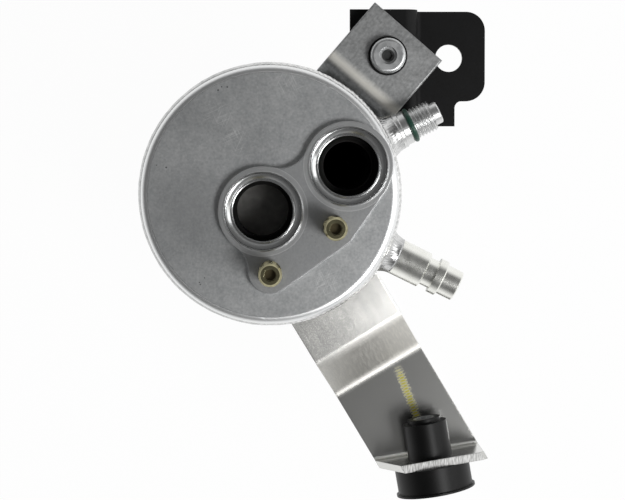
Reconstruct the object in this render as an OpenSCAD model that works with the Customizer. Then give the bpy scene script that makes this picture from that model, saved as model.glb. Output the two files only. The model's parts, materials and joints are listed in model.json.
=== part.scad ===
// Suction line accumulator for a vehicle air-conditioning circuit.
// The can stands on the XY plane, its axis is Z, and the ports open upwards.

/* [Can] */
// Outside diameter of the can
can_d = 89; // [84:0.5:100]
// Height from the base to the cap's top face
can_h = 190; // [170:1:240]
// Thickness of the can's wall
can_wall = 2; // [1.5:0.1:3]
// Thickness of the flat base
base_t = 3; // [2:0.1:5]
// Radius of the base's outer edge
base_edge_r = 6; // [4:0.5:10]

/* [Cap] */
// Thickness of the cap's top plate
cap_t = 7; // [6:0.5:10]
// Radius of the cap's outer edge
cap_edge_r = 2.4; // [1:0.1:4]
// Height of the turned shoulder between the cap's face and its rounded edge
cap_step_h = 0.4; // [0.2:0.05:1]
// Depth of the welded seam below the top face
seam_depth = 11; // [10:0.5:12]
// Height of the cap's spigot inside the can
spigot_h = 5; // [3:0.5:8]
// Thickness of the spigot
spigot_t = 1.5; // [1:0.1:2.5]
// Radial clearance of the spigot in the can
spigot_gap = 0.05; // [0.02:0.01:0.2]
// Height of the girth weld's bead above the wall
girth_bead_h = 1.4; // [0.8:0.1:2]
// Radius of the girth weld's section
girth_bead_r = 2.4; // [2:0.1:2.6]

/* [Port pad] */
// Height of the raised pad above the cap
pad_h = 3; // [1:0.25:6]
// Inlet port's place across the can
inlet_x = -2.5; // [-5:0.1:0]
// Inlet port's place along the can's depth
inlet_y = -5.5; // [-8:0.1:-3]
// Outlet port's place across the can
outlet_x = 26.8; // [25:0.1:28]
// Outlet port's place along the can's depth
outlet_y = 9.9; // [8:0.1:11]
// Radius of the pad round each port
pad_port_r = 15.3; // [14.5:0.1:16.5]
// Radius of the concave blends in the pad's outline
pad_blend_r = 10; // [6:0.5:14]
// Radius of each port's bore
port_bore_r = 10.3; // [10:0.05:10.8]
// Radius of the bevel at each port's mouth
port_mouth_r = 13.25; // [12:0.05:14]
// Depth of the bevel below the pad
port_bevel_depth = 3; // [2:0.1:4]
// Height of the rim that stands round each mouth
port_rim_h = 0.3; // [0.1:0.05:0.6]
// Width of the rim's flat top
port_rim_w = 0.3; // [0.1:0.05:0.6]
// Height of the sealing lip round the bore
port_lip_h = 0.35; // [0.1:0.05:0.6]
// Width of the lip's flat top
port_lip_w = 0.25; // [0.1:0.05:0.6]
// Depth of the bore below the pad
port_bore_depth = 9; // [7:0.25:10]
// Radius of the throat below the bore
port_throat_r = 9; // [8:0.05:9.3]
// Depth of the boss under each port, below the plate
port_boss_h = 9; // [8:0.25:12]
// Wall of the boss round the bore
port_boss_wall = 2.9; // [2:0.1:4]

/* [Studs] */
// Radius of a stud
stud_r = 4; // [3:0.1:4.5]
// Length of a stud above the pad
stud_proud = 17; // [10:0.5:25]
// Length of a stud in the cap
stud_depth = 8; // [5:0.25:8.5]
// Radius of a stud's set end and of its relief above the pad
stud_set_r = 3.6; // [2.5:0.1:3.8]
// Length of the relief above the pad
stud_relief = 0.6; // [0.3:0.1:2]
// Radial clearance of a stud's set end in its hole
stud_gap = 0.02; // [0.01:0.01:0.1]
// Chamfer on a stud's tip
stud_chamfer = 0.8; // [0.3:0.1:1.2]
// Width across flats of the socket in a stud's tip
stud_socket_af = 4; // [2.5:0.1:4.5]
// Depth of the socket
stud_socket_depth = 3; // [1:0.25:5]
// Inlet stud's place across the can
inlet_stud_x = -0.1; // [-3:0.1:3]
// Inlet stud's place along the can's depth
inlet_stud_y = -26.3; // [-28:0.1:-25]
// Outlet stud's place across the can
outlet_stud_x = 21.9; // [20:0.1:24]
// Outlet stud's place along the can's depth
outlet_stud_y = -10.9; // [-13:0.1:-9]
// Pad's radius round a stud
pad_stud_r = 7.4; // [6:0.1:9]

/* [Switch fitting] */
// Direction of the switch fitting, anticlockwise from +X
switch_angle = 25.7; // [22:0.1:27]
// Depth of both fittings' axes below the top face
fitting_depth = 24; // [24:0.5:25]
// Radius of the fitting's body
switch_body_r = 6.5; // [6:0.05:6.8]
// Length of the body from the can's wall
switch_body_len = 7.5; // [6:0.25:12]
// Radius of the collar
switch_collar_r = 6; // [5.6:0.05:6.5]
// Length of the collar
switch_collar_len = 2.5; // [1.5:0.1:5]
// Section of the seal ring
seal_section = 1.7; // [1.2:0.05:2.2]
// Radius of the seal ring's seat
seal_seat_r = 4.65; // [4.2:0.05:5]
// Outside radius of the thread
switch_thread_r = 5.55; // [5.2:0.05:6]
// Length of the thread
switch_thread_len = 7.5; // [5:0.25:12]
// Radius of the tip
switch_tip_r = 4; // [3.6:0.05:4.8]
// Length of the tip
switch_tip_len = 2.8; // [2:0.1:5]

/* [Service port] */
// Direction of the service port, anticlockwise from +X
service_angle = -26.6; // [-29:0.1:-22]
// Radius of the port's neck
service_neck_r = 6.5; // [6:0.05:6.8]
// Length of the neck from the can's wall
service_neck_len = 16.9; // [12:0.1:25]
// Radius of the lock groove
service_groove_r = 5.15; // [4.6:0.05:5.8]
// Length of the lock groove
service_groove_len = 3.7; // [2:0.1:6]
// Radius of the lock ring
service_ring_r = 6.5; // [6:0.05:7]
// Length of the lock ring
service_ring_len = 3.2; // [2:0.1:6]
// Radius of the tip
service_tip_r = 5.45; // [5:0.05:6]
// Length of the tip
service_tip_len = 6.1; // [5:0.1:9]
// Radius of the recess in the tip
service_recess_r = 3.9; // [3.2:0.05:4.4]
// Depth of the recess
service_recess_depth = 4.5; // [2:0.1:6]

/* [Fitting welds and edges] */
// Radius of the weld's section round a fitting
fitting_weld_r = 3.6; // [3:0.1:3.6]
// Height of the weld's centre above the can's wall
fitting_weld_rise = 1; // [0:0.1:1.5]
// Small turned chamfer on the fittings' edges
edge_chamfer = 0.4; // [0.1:0.05:0.6]

/* [Valve cores] */
// Radius of a valve core
core_r = 2.6; // [2.3:0.05:3]
// Length of a valve core
core_len = 9.8; // [8:0.1:12]
// Radial clearance of a core in its fitting
core_gap = 0.03; // [0.01:0.01:0.1]
// How far the switch valve's core lies below its fitting's end
switch_core_recess = 1.5; // [0.5:0.1:2]
// Radius of the valve pin
pin_r = 0.8; // [0.6:0.05:1]
// Radial running clearance of the pin
pin_gap = 0.05; // [0.02:0.01:0.1]
// How far the pin stands out of the core
pin_proud = 0.8; // [0.5:0.1:1.2]
// Travel of the pin
pin_travel = 1.5; // [1:0.1:2]
// Radius of the valve disc on the pin
disc_r = 2.1; // [1.8:0.05:2.2]
// Thickness of the valve disc
disc_t = 1.2; // [0.8:0.1:2]
// Gap between the disc and its seat at rest
disc_gap = 0.1; // [0.05:0.01:0.3]
// Radius of the spring's chamber in the core
chamber_r = 1.85; // [1.6:0.05:2]
// Length of the spring's chamber
chamber_len = 5; // [4:0.1:6]
// Radius of the pin's spring collar
collar_r = 1.5; // [1.2:0.05:1.5]
// Thickness of the pin's spring collar
collar_t = 0.6; // [0.4:0.05:1]
// Wire diameter of the spring
spring_wire = 0.4; // [0.3:0.05:0.5]
// Number of turns of the spring
spring_turns = 4; // [3:1:5]
// Radius of the passage from the can to a valve
passage_r = 1.9; // [1.5:0.05:2.2]

/* [Upper tab] */
// Direction of the tab, anticlockwise from +X
tab_angle = 49.2; // [48:0.1:52]
// Width of the tab
tab_w = 31.8; // [28:0.1:33]
// Thickness of the tab
tab_t = 3; // [2:0.1:4]
// Inner radius of the tab's bend
tab_bend_r = 6; // [3:0.25:8]
// Depth of the tab's top face below the cap's top face
tab_depth = 32; // [31:0.5:40]
// How far the tab reaches from the can's wall
tab_reach = 31.5; // [28:0.5:40]
// Height of the tab's leg on the can
tab_leg_h = 40; // [30:1:60]
// Distance of the bolt from the can's wall
tab_bolt_out = 20; // [17:0.25:22]
// Radius of the weld beads along the tab's leg
tab_weld_r = 2.6; // [2:0.1:3]

/* [Upper bush and bolt] */
// Radius of the bush's top flange
bush_top_r = 7; // [6.8:0.1:8]
// Thickness of the bush's top flange
bush_top_t = 1.5; // [1:0.1:3]
// Radius of the bush's neck in the tab
bush_neck_r = 5.5; // [5:0.1:6]
// Radius of the bush's lower flange
bush_low_r = 9; // [8:0.1:10]
// Thickness of the bush's lower flange
bush_low_t = 3; // [2:0.1:5]
// Outside radius of the spacer sleeve
sleeve_r = 4.2; // [4:0.05:4.5]
// Clearance between seated round pieces
seat_gap = 0.02; // [0.01:0.01:0.1]
// Radius of the bolt's shank
bolt_r = 3; // [2.5:0.05:3.2]
// Radial clearance of the bolt's shank
bolt_gap = 0.2; // [0.05:0.05:0.4]
// Radius of the bolt's head
bolt_head_r = 6.3; // [5.5:0.05:6.8]
// Height of the bolt's head
bolt_head_h = 3.6; // [2.5:0.1:5]
// Edge radius of the bolt's head
bolt_head_edge = 1.2; // [0.5:0.1:2]
// Radius of the round recess in the head
bolt_recess_r = 3.1; // [2.5:0.05:3.5]
// Depth of the recess
bolt_recess_depth = 2.2; // [1:0.1:3]
// Width across flats of the socket in the recess
bolt_socket_af = 3; // [2:0.1:4]
// Depth of the socket below the recess
bolt_socket_depth = 1.2; // [0.5:0.1:1.5]
// Width across flats of the nut
nut_af = 10; // [8:0.1:11]
// Height of the nut
nut_h = 5; // [4:0.1:6]
// Length of the bolt past the nut
bolt_past = 1.5; // [0.5:0.1:4]

/* [Mounting bracket] */
// Thickness of the bracket's sheet
bracket_t = 2.5; // [1.5:0.1:3.5]
// Inner radius of its bends
bracket_bend_r = 2; // [1:0.1:3]
// Drop of the bracket's joggle
bracket_drop = 14; // [10:0.25:20]
// Distance from the bolt to the left edge
bracket_left = 13.2; // [11:0.1:16]
// Distance from the bolt to the joggle's outer face
bracket_step = 11.4; // [10:0.1:14]
// Distance from the bolt to the right edge
bracket_right = 37; // [34:0.1:45]
// Distance from the bolt to the top edge
bracket_top = 17; // [14:0.1:20]
// Distance from the bolt to the lower plate's bottom edge
bracket_bottom = 15.8; // [13:0.1:18]
// Distance from the bolt to the foot's bottom edge
bracket_foot = 25; // [22:0.1:28]
// Distance from the bolt to the foot's right edge
bracket_foot_right = 25.9; // [22:0.1:28]
// Corner radius of the lower plate
bracket_corner_r = 7; // [3:0.25:9]
// Radius of the blend above the foot
bracket_blend_r = 2.5; // [1:0.1:4]
// Distance of the hole to the right of the bolt
bracket_hole_dx = 23.7; // [22:0.1:26]
// Radius of the hole
bracket_hole_r = 5; // [3:0.1:6]
// Clearance between the bracket and the tab's leg
bracket_clear = 2.5; // [1:0.1:5]

/* [Lower strap] */
// Direction of the strap, anticlockwise from +X
strap_angle = -59.2; // [-62:0.1:-57]
// Width of the strap
strap_w = 37; // [34:0.25:42]
// Thickness of the strap
strap_t = 3; // [2:0.1:4]
// Depth of the strap's upper face at the can, below the cap's top face
strap_depth = 58; // [50:1:90]
// Fall of the strap's first run away from the can
strap_fall = 8; // [0:0.5:12]
// Distance of the joggle's start from the can's wall
strap_run = 18.1; // [14:0.1:25]
// Drop of the strap from the can to its lower flat
strap_drop = 14; // [12:0.25:18]
// Slope of the joggle
strap_slope = 40; // [30:1:55]
// Inner radius of the joggle's bends
strap_bend_r = 4.5; // [3:0.25:6]
// Distance of the lip's middle from the can's wall
lip_out = 73; // [66:0.25:90]
// Turn of the lip from square across the strap
lip_skew = 21; // [10:0.5:25]
// Height of the lip above the strap's lower face
lip_h = 24; // [23:0.25:32]
// Inner radius of the lip's bend
lip_bend_r = 2; // [1:0.25:3]
// Chamfer on the lip's top corner
lip_chamfer = 1.5; // [0.5:0.1:3]
// Height of the strap's leg on the can
strap_leg_h = 30; // [20:1:45]
// Radius of the weld beads along the strap's leg
strap_weld_r = 2.4; // [2:0.1:3]

/* [Rubber isolator] */
// Height of the isolator's axis above the strap's lower face
isolator_up = 12.5; // [11.5:0.1:14]
// Radius of the inner barrel
isolator_inner_r = 8.25; // [7.5:0.05:9]
// Length of the inner barrel
isolator_inner_len = 13; // [10:0.25:18]
// Radius of the outer barrel
isolator_outer_r = 14; // [12:0.1:16]
// Length of the outer barrel
isolator_outer_len = 10; // [7:0.25:14]
// Radius of the neck in the lip
isolator_neck_r = 6.5; // [6:0.05:7]
// Height of the raised ring at the inner end
isolator_nose = 1.6; // [0.5:0.1:3]
// How far the moulding lip stands out at the outer end
isolator_flash = 0.8; // [0.4:0.1:1.5]
// Outside radius of the steel sleeve
isolator_sleeve_r = 4; // [3.5:0.05:4.4]
// Bore radius of the steel sleeve
isolator_bore_r = 3.2; // [2.5:0.05:3.3]
// Radius of the sleeve's flange
isolator_flange_r = 9; // [7:0.1:11]
// Thickness of the sleeve's flange
isolator_flange_t = 1; // [0.8:0.1:2]

/* [Suction tube] */
// Outside radius of the tube
tube_r = 9.5; // [9.4:0.05:9.8]
// Wall of the tube
tube_wall = 1.2; // [0.8:0.1:1.6]
// Clearance of the tube in its socket
tube_gap = 0.05; // [0.02:0.01:0.1]
// Depth of the tube's socket in the outlet boss
tube_socket = 6; // [4:0.25:6]
// Distance between the tube's legs
leg_pitch = 50; // [46:0.5:52]
// Direction from the outlet leg to the open leg
leg_angle = 170; // [165:1:175]
// Height of the tube's lowest point above the base plate
tube_floor = 14; // [12:0.5:20]
// Radius of the oil bleed hole
bleed_r = 0.6; // [0.4:0.05:1]

/* [Inside pieces] */
// Radius of the deflector
deflector_r = 38; // [36.5:0.25:38.5]
// Thickness of the deflector's sheet
deflector_t = 1.2; // [0.8:0.1:2]
// Height of the deflector's dome
deflector_rise = 5; // [3:0.25:8]
// Gap between the ports' bosses and the deflector's crown
deflector_drop = 7; // [5:0.25:12]
// Height of the deflector's collar on the tube
deflector_collar_h = 8; // [6:0.25:12]
// Gap between the deflector and the open leg's end
pickup_gap = 9; // [7:0.25:14]
// Radius of the oil filter's cup
filter_cup_r = 9; // [8:0.1:10]
// Wall of the oil filter's cup
filter_wall = 1.2; // [1:0.1:1.6]
// Thickness of the filter's screen
screen_t = 0.5; // [0.3:0.05:0.8]
// Width of a window in the filter's cup
filter_window_w = 6; // [4:0.25:8]
// Height of a window in the filter's cup
filter_window_h = 5; // [3:0.25:6]
// Height of the desiccant bag
bag_h = 80; // [50:1:100]
// Breadth of the desiccant bag
bag_w = 18; // [14:0.25:18]
// Clearance between soft pieces and the tube
soft_gap = 0.3; // [0.2:0.05:0.5]
// Height of the bag's tie
tie_h = 6; // [4:0.25:10]
// Thickness of the bag's tie
tie_t = 1.2; // [0.8:0.1:2]

/* [Hidden] */
$fn = 96;
eps = 0.01;

can_r = can_d / 2;
seam_z = can_h - seam_depth;
pad_top = can_h + pad_h;
plate_low = can_h - cap_t;
boss_low = plate_low - port_boss_h;
fitting_z = can_h - fitting_depth;

inlet = [inlet_x, inlet_y];
outlet = [outlet_x, outlet_y];
inlet_stud = [inlet_stud_x, inlet_stud_y];
outlet_stud = [outlet_stud_x, outlet_stud_y];

// Stations along each fitting, measured from the can's axis
switch_body_end = can_r + switch_body_len;
switch_collar_end = switch_body_end + switch_collar_len;
switch_seal_end = switch_collar_end + seal_section + seat_gap;
switch_thread_end = switch_seal_end + switch_thread_len;
switch_end = switch_thread_end + switch_tip_len;
switch_core_out = switch_end - switch_core_recess;
service_neck_end = can_r + service_neck_len;
service_groove_end = service_neck_end + service_groove_len;
service_ring_end = service_groove_end + service_ring_len;
service_end = service_ring_end + service_tip_len;
service_core_out = service_end - service_recess_depth;
core_bore_len = core_len + disc_gap + disc_t + pin_travel + 1;

// Upper tab, bush and bolt, from the top down
tab_top = can_h - tab_depth;
tab_low = tab_top - tab_t;
bolt_at = (can_r + tab_bolt_out) * [cos(tab_angle), sin(tab_angle)];
bush_top = tab_top + bush_top_t;
bracket_top_z = tab_low - bush_low_t;
nut_top = bracket_top_z - bracket_t;
bolt_low = nut_top - nut_h - bolt_past;

// Lower strap
strap_top = can_h - strap_depth;
strap_flat_top = strap_top - strap_drop;
lip_at = can_r + lip_out;
lip_mid_r = lip_bend_r + strap_t / 2;
isolator_z = strap_flat_top + isolator_up;

// Suction tube
bend_r = leg_pitch / 2;
open_leg = outlet + leg_pitch * [cos(leg_angle), sin(leg_angle)];
bend_z = base_t + tube_floor + tube_r + bend_r;
deflector_top = boss_low - deflector_drop;
open_leg_top = deflector_top - deflector_rise - pickup_gap;
tube_low = bend_z - bend_r - tube_r;
bag_low = bend_z + soft_gap;

// The point at distance d1 from c1 and d2 from c2, on the side given by +1 or -1
function meet(c1, d1, c2, d2, side) =
    let (v = c2 - c1, d = norm(v), e = v / d, a = (d1 * d1 - d2 * d2 + d * d) / (2 * d))
    c1 + a * e + side * sqrt(d1 * d1 - a * a) * [-e[1], e[0]];

// A circle's tangent point on the outside tangent to the next circle, on the given side
function tangent(c, r, c1, r1, c2, r2, side) =
    let (v = c2 - c1, turn = atan2(v[1], v[0]) + side * acos((r1 - r2) / norm(v)))
    c + r * [cos(turn), sin(turn)];

// Places children with their Z axis along a radius of the can, at height z
module radial(angle, z) {
    translate([0, 0, z]) rotate([0, 0, angle]) rotate([0, 90, 0]) children();
}

// Solid cylinder of the can's outside, for trimming what is welded to it
module can_body() {
    translate([0, 0, -can_h]) cylinder(r = can_r, h = 3 * can_h);
}

// Ring sector of inner radius r and thickness t between two angles less than 180 degrees apart
module ring_sector(r, t, from, to) {
    reach = 3 * (r + t);
    mid = (from + to) / 2;
    intersection() {
        difference() {
            circle(r = r + t);
            circle(r = r);
        }
        polygon([
            [0, 0], reach * [cos(from), sin(from)],
            reach * [cos(mid), sin(mid)], reach * [cos(to), sin(to)]
        ]);
    }
}

// Section of a bent sheet: each step is a straight run, then a turn at an inner radius.
// The path follows the sheet's middle, and a positive turn bends upwards.
module sheet_section(steps, t, i = 0) {
    run = steps[i][0];
    turn = steps[i][1];
    mid_r = steps[i][2] + t / 2;
    side = turn < 0 ? -1 : 1;
    translate([0, -t / 2]) square([run, t]);
    if (turn != 0) {
        translate([run, side * mid_r]) {
            ring_sector(mid_r - t / 2, t, -side * 90, -side * 90 + turn);
            rotate(turn) translate([0, -side * mid_r]) sheet_section(steps, t, i + 1);
        }
    }
}

// Area that fills the corner between two circles with a concave blend of radius r
module blend_fill(c1, r1, c2, r2, r, side) {
    c = meet(c1, r1 + r, c2, r2 + r, side);
    difference() {
        polygon([c1, c, c2]);
        translate(c) circle(r = r);
    }
}

// Area between two circles and their common outside tangent
module tangent_fill(c1, r1, c2, r2, side) {
    polygon([
        c1, tangent(c1, r1, c1, r1, c2, r2, side),
        tangent(c2, r2, c1, r1, c2, r2, side), c2
    ]);
}

// Outline of the raised pad: a lobe round each port and stud, blended and bridged
module pad_outline() {
    for (c = [inlet, outlet]) translate(c) circle(r = pad_port_r);
    for (c = [inlet_stud, outlet_stud]) translate(c) circle(r = pad_stud_r);
    polygon([inlet, inlet_stud, outlet_stud, outlet]);
    tangent_fill(inlet_stud, pad_stud_r, outlet_stud, pad_stud_r, -1);
    tangent_fill(outlet_stud, pad_stud_r, outlet, pad_port_r, -1);
    blend_fill(inlet, pad_port_r, outlet, pad_port_r, pad_blend_r, 1);
    blend_fill(inlet, pad_port_r, inlet_stud, pad_stud_r, pad_blend_r, -1);
}

// Low turned rim round one port's mouth, with a sloping outside
module port_rim() {
    low_r = port_mouth_r + port_rim_w + port_rim_h;
    translate([0, 0, pad_top]) cylinder(r1 = low_r, r2 = low_r - port_rim_h, h = port_rim_h);
}

// Throat, bore, sealing lip and bevel of one port, as the section that is turned away
module port_cut() {
    low = boss_low - 1;
    bore_floor = pad_top - port_bore_depth;
    bevel_low = pad_top - port_bevel_depth;
    lip_top = bevel_low + port_lip_h;
    lip_r = port_bore_r + port_lip_w;
    mouth = pad_top + port_rim_h;
    rotate_extrude() polygon([
        [0, low], [port_throat_r, low], [port_throat_r, bore_floor],
        [port_bore_r, bore_floor], [port_bore_r, lip_top],
        [lip_r, lip_top], [lip_r + port_lip_h, bevel_low],
        [port_mouth_r, mouth], [port_mouth_r, mouth + 1], [0, mouth + 1]
    ]);
}

module canister_cap() {
    spigot_r = can_r - can_wall - spigot_gap;
    edge_z = can_h - cap_step_h - cap_edge_r;
    color("#a9abad") difference() {
        union() {
            rotate_extrude() difference() {
                union() {
                    translate([0, seam_z]) square([can_r, edge_z - seam_z]);
                    translate([0, seam_z]) square([can_r - cap_edge_r, seam_depth]);
                    translate([can_r - cap_edge_r, edge_z]) circle(r = cap_edge_r);
                    translate([0, seam_z - spigot_h]) square([spigot_r, spigot_h]);
                }
                translate([0, seam_z - spigot_h - 1])
                    square([spigot_r - spigot_t, plate_low - seam_z + spigot_h + 1]);
            }
            intersection() {
                translate([0, 0, edge_z]) linear_extrude(pad_top - edge_z) pad_outline();
                cylinder(r = can_r, h = 2 * can_h);
            }
            for (c = [inlet, outlet]) translate(c) port_rim();
            intersection() {
                for (c = [inlet, outlet])
                    translate([c[0], c[1], boss_low])
                        cylinder(r = port_bore_r + port_boss_wall, h = port_boss_h + 1);
                cylinder(r = spigot_r, h = can_h);
            }
        }
        for (c = [inlet, outlet]) translate(c) port_cut();
        translate([outlet_x, outlet_y, boss_low - 1])
            cylinder(r = tube_r + tube_gap, h = tube_socket + 1);
        for (c = [inlet_stud, outlet_stud])
            translate([c[0], c[1], pad_top - stud_depth])
                cylinder(r = stud_set_r + stud_gap, h = stud_depth + 1);
    }
}

module canister_shell() {
    color("#b3b5b6") difference() {
        rotate_extrude() difference() {
            union() {
                square([can_r - base_edge_r, seam_z]);
                translate([0, base_edge_r]) square([can_r, seam_z - base_edge_r]);
                translate([can_r - base_edge_r, base_edge_r]) circle(r = base_edge_r);
            }
            translate([0, base_t]) square([can_r - can_wall, seam_z]);
        }
        for (angle = [switch_angle, service_angle])
            radial(angle, fitting_z) cylinder(r = passage_r, h = 2 * can_r);
    }
}

module girth_weld() {
    color("#c4c6c7") difference() {
        rotate_extrude()
            translate([can_r + girth_bead_h - girth_bead_r, seam_z]) circle(r = girth_bead_r);
        can_body();
    }
}

// One stud with the pad's top face at z = 0: set end, relief, free end and socketed tip
module stud() {
    difference() {
        union() {
            translate([0, 0, -stud_depth]) cylinder(r = stud_set_r, h = stud_depth + stud_proud / 2);
            translate([0, 0, stud_relief])
                cylinder(r = stud_r, h = stud_proud - stud_relief - stud_chamfer);
            translate([0, 0, stud_proud - stud_chamfer])
                cylinder(r1 = stud_r, r2 = stud_r - stud_chamfer, h = stud_chamfer);
        }
        translate([0, 0, stud_proud - stud_socket_depth])
            cylinder(d = stud_socket_af / cos(30), h = stud_socket_depth + 1, $fn = 6);
    }
}

module port_studs() {
    color("#b9a45a")
        for (c = [inlet_stud, outlet_stud]) translate([c[0], c[1], pad_top]) stud();
}

// One turned step of a fitting: radius r between two stations, with a chamfered outer end
module turned(r, from, to) {
    translate([0, from]) square([r - edge_chamfer, to - from]);
    translate([0, from]) square([r, to - from - edge_chamfer]);
    polygon([
        [0, to - edge_chamfer], [r, to - edge_chamfer],
        [r - edge_chamfer, to], [0, to]
    ]);
}

// Removes the core's bore and the passage to the can from a fitting
module valve_bore(core_out, end) {
    translate([0, 0, core_out - core_bore_len])
        cylinder(r = core_r + core_gap, h = end - core_out + core_bore_len + 1);
    cylinder(r = passage_r, h = end);
}

module switch_fitting() {
    color("#d0d2d3") difference() {
        radial(switch_angle, fitting_z) difference() {
            rotate_extrude() {
                turned(switch_body_r, 0, switch_body_end);
                turned(switch_collar_r, 0, switch_collar_end);
                square([seal_seat_r, switch_seal_end]);
                turned(switch_thread_r, switch_seal_end, switch_thread_end);
                turned(switch_tip_r, switch_thread_end - edge_chamfer, switch_end);
            }
            valve_bore(switch_core_out, switch_end);
        }
        can_body();
    }
}

module service_port() {
    color("#b9bbb8") difference() {
        radial(service_angle, fitting_z) difference() {
            rotate_extrude() {
                turned(service_neck_r, 0, service_neck_end);
                square([service_groove_r, service_groove_end]);
                turned(service_ring_r, service_groove_end, service_ring_end);
                turned(service_tip_r, service_ring_end - edge_chamfer, service_end);
            }
            valve_bore(service_core_out, service_end);
            translate([0, 0, service_core_out])
                cylinder(r = service_recess_r, h = service_recess_depth + 1);
        }
        can_body();
    }
}

// Rounded weld bead where a fitting of radius r stands on the can
module fitting_weld(angle, r) {
    difference() {
        radial(angle, fitting_z) rotate_extrude() intersection() {
            translate([r + fitting_weld_r / 5, can_r + fitting_weld_rise]) circle(r = fitting_weld_r);
            translate([r, 0]) square(2 * can_r);
        }
        can_body();
    }
}

module switch_fitting_weld() {
    color("#c8cacb") fitting_weld(switch_angle, switch_body_r);
}

module service_port_weld() {
    color("#c8cacb") fitting_weld(service_angle, service_neck_r);
}

module switch_o_ring() {
    ring_r = seal_seat_r + seat_gap + seal_section / 2;
    ring_station = switch_collar_end + (seat_gap + seal_section) / 2;
    color("#1f4a3c") radial(switch_angle, fitting_z)
        rotate_extrude() translate([ring_r, ring_station]) circle(d = seal_section);
}

// Body of a valve core whose outer end is at the given station
module valve_core(angle, core_out) {
    radial(angle, fitting_z) rotate_extrude() difference() {
        translate([0, core_out - core_len]) square([core_r, core_len]);
        translate([0, core_out - core_len - 1]) square([pin_r + pin_gap, core_len + 2]);
        translate([0, core_out - core_len / 2 - chamber_len / 2]) square([chamber_r, chamber_len]);
    }
}

// Pin of a valve core, with its disc below the core and its spring collar in the chamber
module valve_pin(angle, core_out) {
    disc_top = core_out - core_len - disc_gap;
    collar_top = core_out - core_len / 2 + chamber_len / 2 - disc_gap;
    radial(angle, fitting_z) rotate_extrude() {
        translate([0, disc_top - disc_t]) square([pin_r, core_out + pin_proud - disc_top + disc_t]);
        translate([0, disc_top - disc_t]) square([disc_r, disc_t]);
        translate([0, collar_top - collar_t]) square([collar_r, collar_t]);
    }
}

// Coil spring between the chamber's inner end and the pin's collar
module valve_spring(angle, core_out) {
    sides = 6;
    steps = 14;
    rings = steps * spring_turns;
    coil_r = (pin_r + pin_gap + chamber_r) / 2;
    low = core_out - core_len / 2 - chamber_len / 2 + spring_wire / 2 + disc_gap;
    high = core_out - core_len / 2 + chamber_len / 2 - disc_gap - collar_t - spring_wire / 2 - disc_gap;
    points = [
        for (k = [0:rings]) let (turn = 360 * k / steps, z = low + (high - low) * k / rings)
            for (s = [0:sides - 1]) let (a = 360 * s / sides, r = coil_r + spring_wire / 2 * cos(a))
                [r * cos(turn), r * sin(turn), z + spring_wire / 2 * sin(a)]
    ];
    walls = [
        for (k = [0:rings - 1]) for (s = [0:sides - 1])
            let (a = k * sides + s, b = k * sides + (s + 1) % sides)
                [a, a + sides, b + sides, b]
    ];
    ends = [[for (s = [0:sides - 1]) s], [for (s = [sides - 1:-1:0]) rings * sides + s]];
    radial(angle, fitting_z) polyhedron(points, concat(walls, ends), convexity = 6);
}

module switch_valve_core() {
    color("#c9b166") valve_core(switch_angle, switch_core_out);
}

module switch_valve_pin() {
    color("#cfcfcc") valve_pin(switch_angle, switch_core_out);
}

module switch_valve_spring() {
    color("#9a9c9e") valve_spring(switch_angle, switch_core_out);
}

module service_valve_core() {
    color("#c9b166") valve_core(service_angle, service_core_out);
}

module service_valve_pin() {
    color("#cfcfcc") valve_pin(service_angle, service_core_out);
}

module service_valve_spring() {
    color("#9a9c9e") valve_spring(service_angle, service_core_out);
}

// Extrudes a section drawn in radius and height, centred across a radius of the can
module across(angle, width) {
    rotate([0, 0, angle]) translate([0, width / 2, 0]) rotate([90, 0, 0])
        linear_extrude(width) children();
}

module upper_tab() {
    mid_r = tab_bend_r + tab_t / 2;
    leg_run = tab_leg_h - tab_t / 2 - mid_r;
    plate_run = tab_reach - tab_t / 2 - mid_r;
    color("#a3a5a7") difference() {
        across(tab_angle, tab_w)
            translate([can_r + tab_t / 2, tab_top - tab_leg_h]) rotate(90)
                sheet_section([[leg_run, -90, tab_bend_r], [plate_run, 0, 0]], tab_t);
        translate([bolt_at[0], bolt_at[1], tab_low - 1])
            cylinder(r = bush_neck_r + seat_gap, h = tab_t + 2);
    }
}

// Upright weld beads that close the corners between a flat leg's edges and the round can
module upper_tab_welds() {
    edge = tab_w / 2;
    leg_face = can_r + tab_t;
    color("#c0c2c3") difference() {
        for (side = [-1, 1])
            rotate([0, 0, tab_angle])
                translate([can_r - tab_weld_r / 2, side * edge, tab_top - tab_leg_h])
                    cylinder(r = tab_weld_r, h = tab_leg_h - tab_bend_r - tab_t);
        can_body();
        rotate([0, 0, tab_angle])
            translate([can_r, -edge, tab_top - 2 * tab_leg_h]) cube([leg_face, tab_w, 3 * tab_leg_h]);
    }
}

module upper_bush() {
    color("#1b1b1c") translate([bolt_at[0], bolt_at[1], 0]) rotate_extrude() difference() {
        union() {
            translate([0, tab_top]) square([bush_top_r, bush_top_t]);
            translate([0, tab_low - eps]) square([bush_neck_r, tab_t + 2 * eps]);
            translate([0, bracket_top_z]) square([bush_low_r, bush_low_t]);
        }
        translate([0, bracket_top_z - 1])
            square([sleeve_r + seat_gap, bush_top - bracket_top_z + 2]);
    }
}

module upper_sleeve() {
    color("#b8babc") translate([bolt_at[0], bolt_at[1], bracket_top_z]) difference() {
        cylinder(r = sleeve_r, h = bush_top - bracket_top_z);
        translate([0, 0, -1]) cylinder(r = bolt_r + bolt_gap, h = bush_top - bracket_top_z + 2);
    }
}

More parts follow.
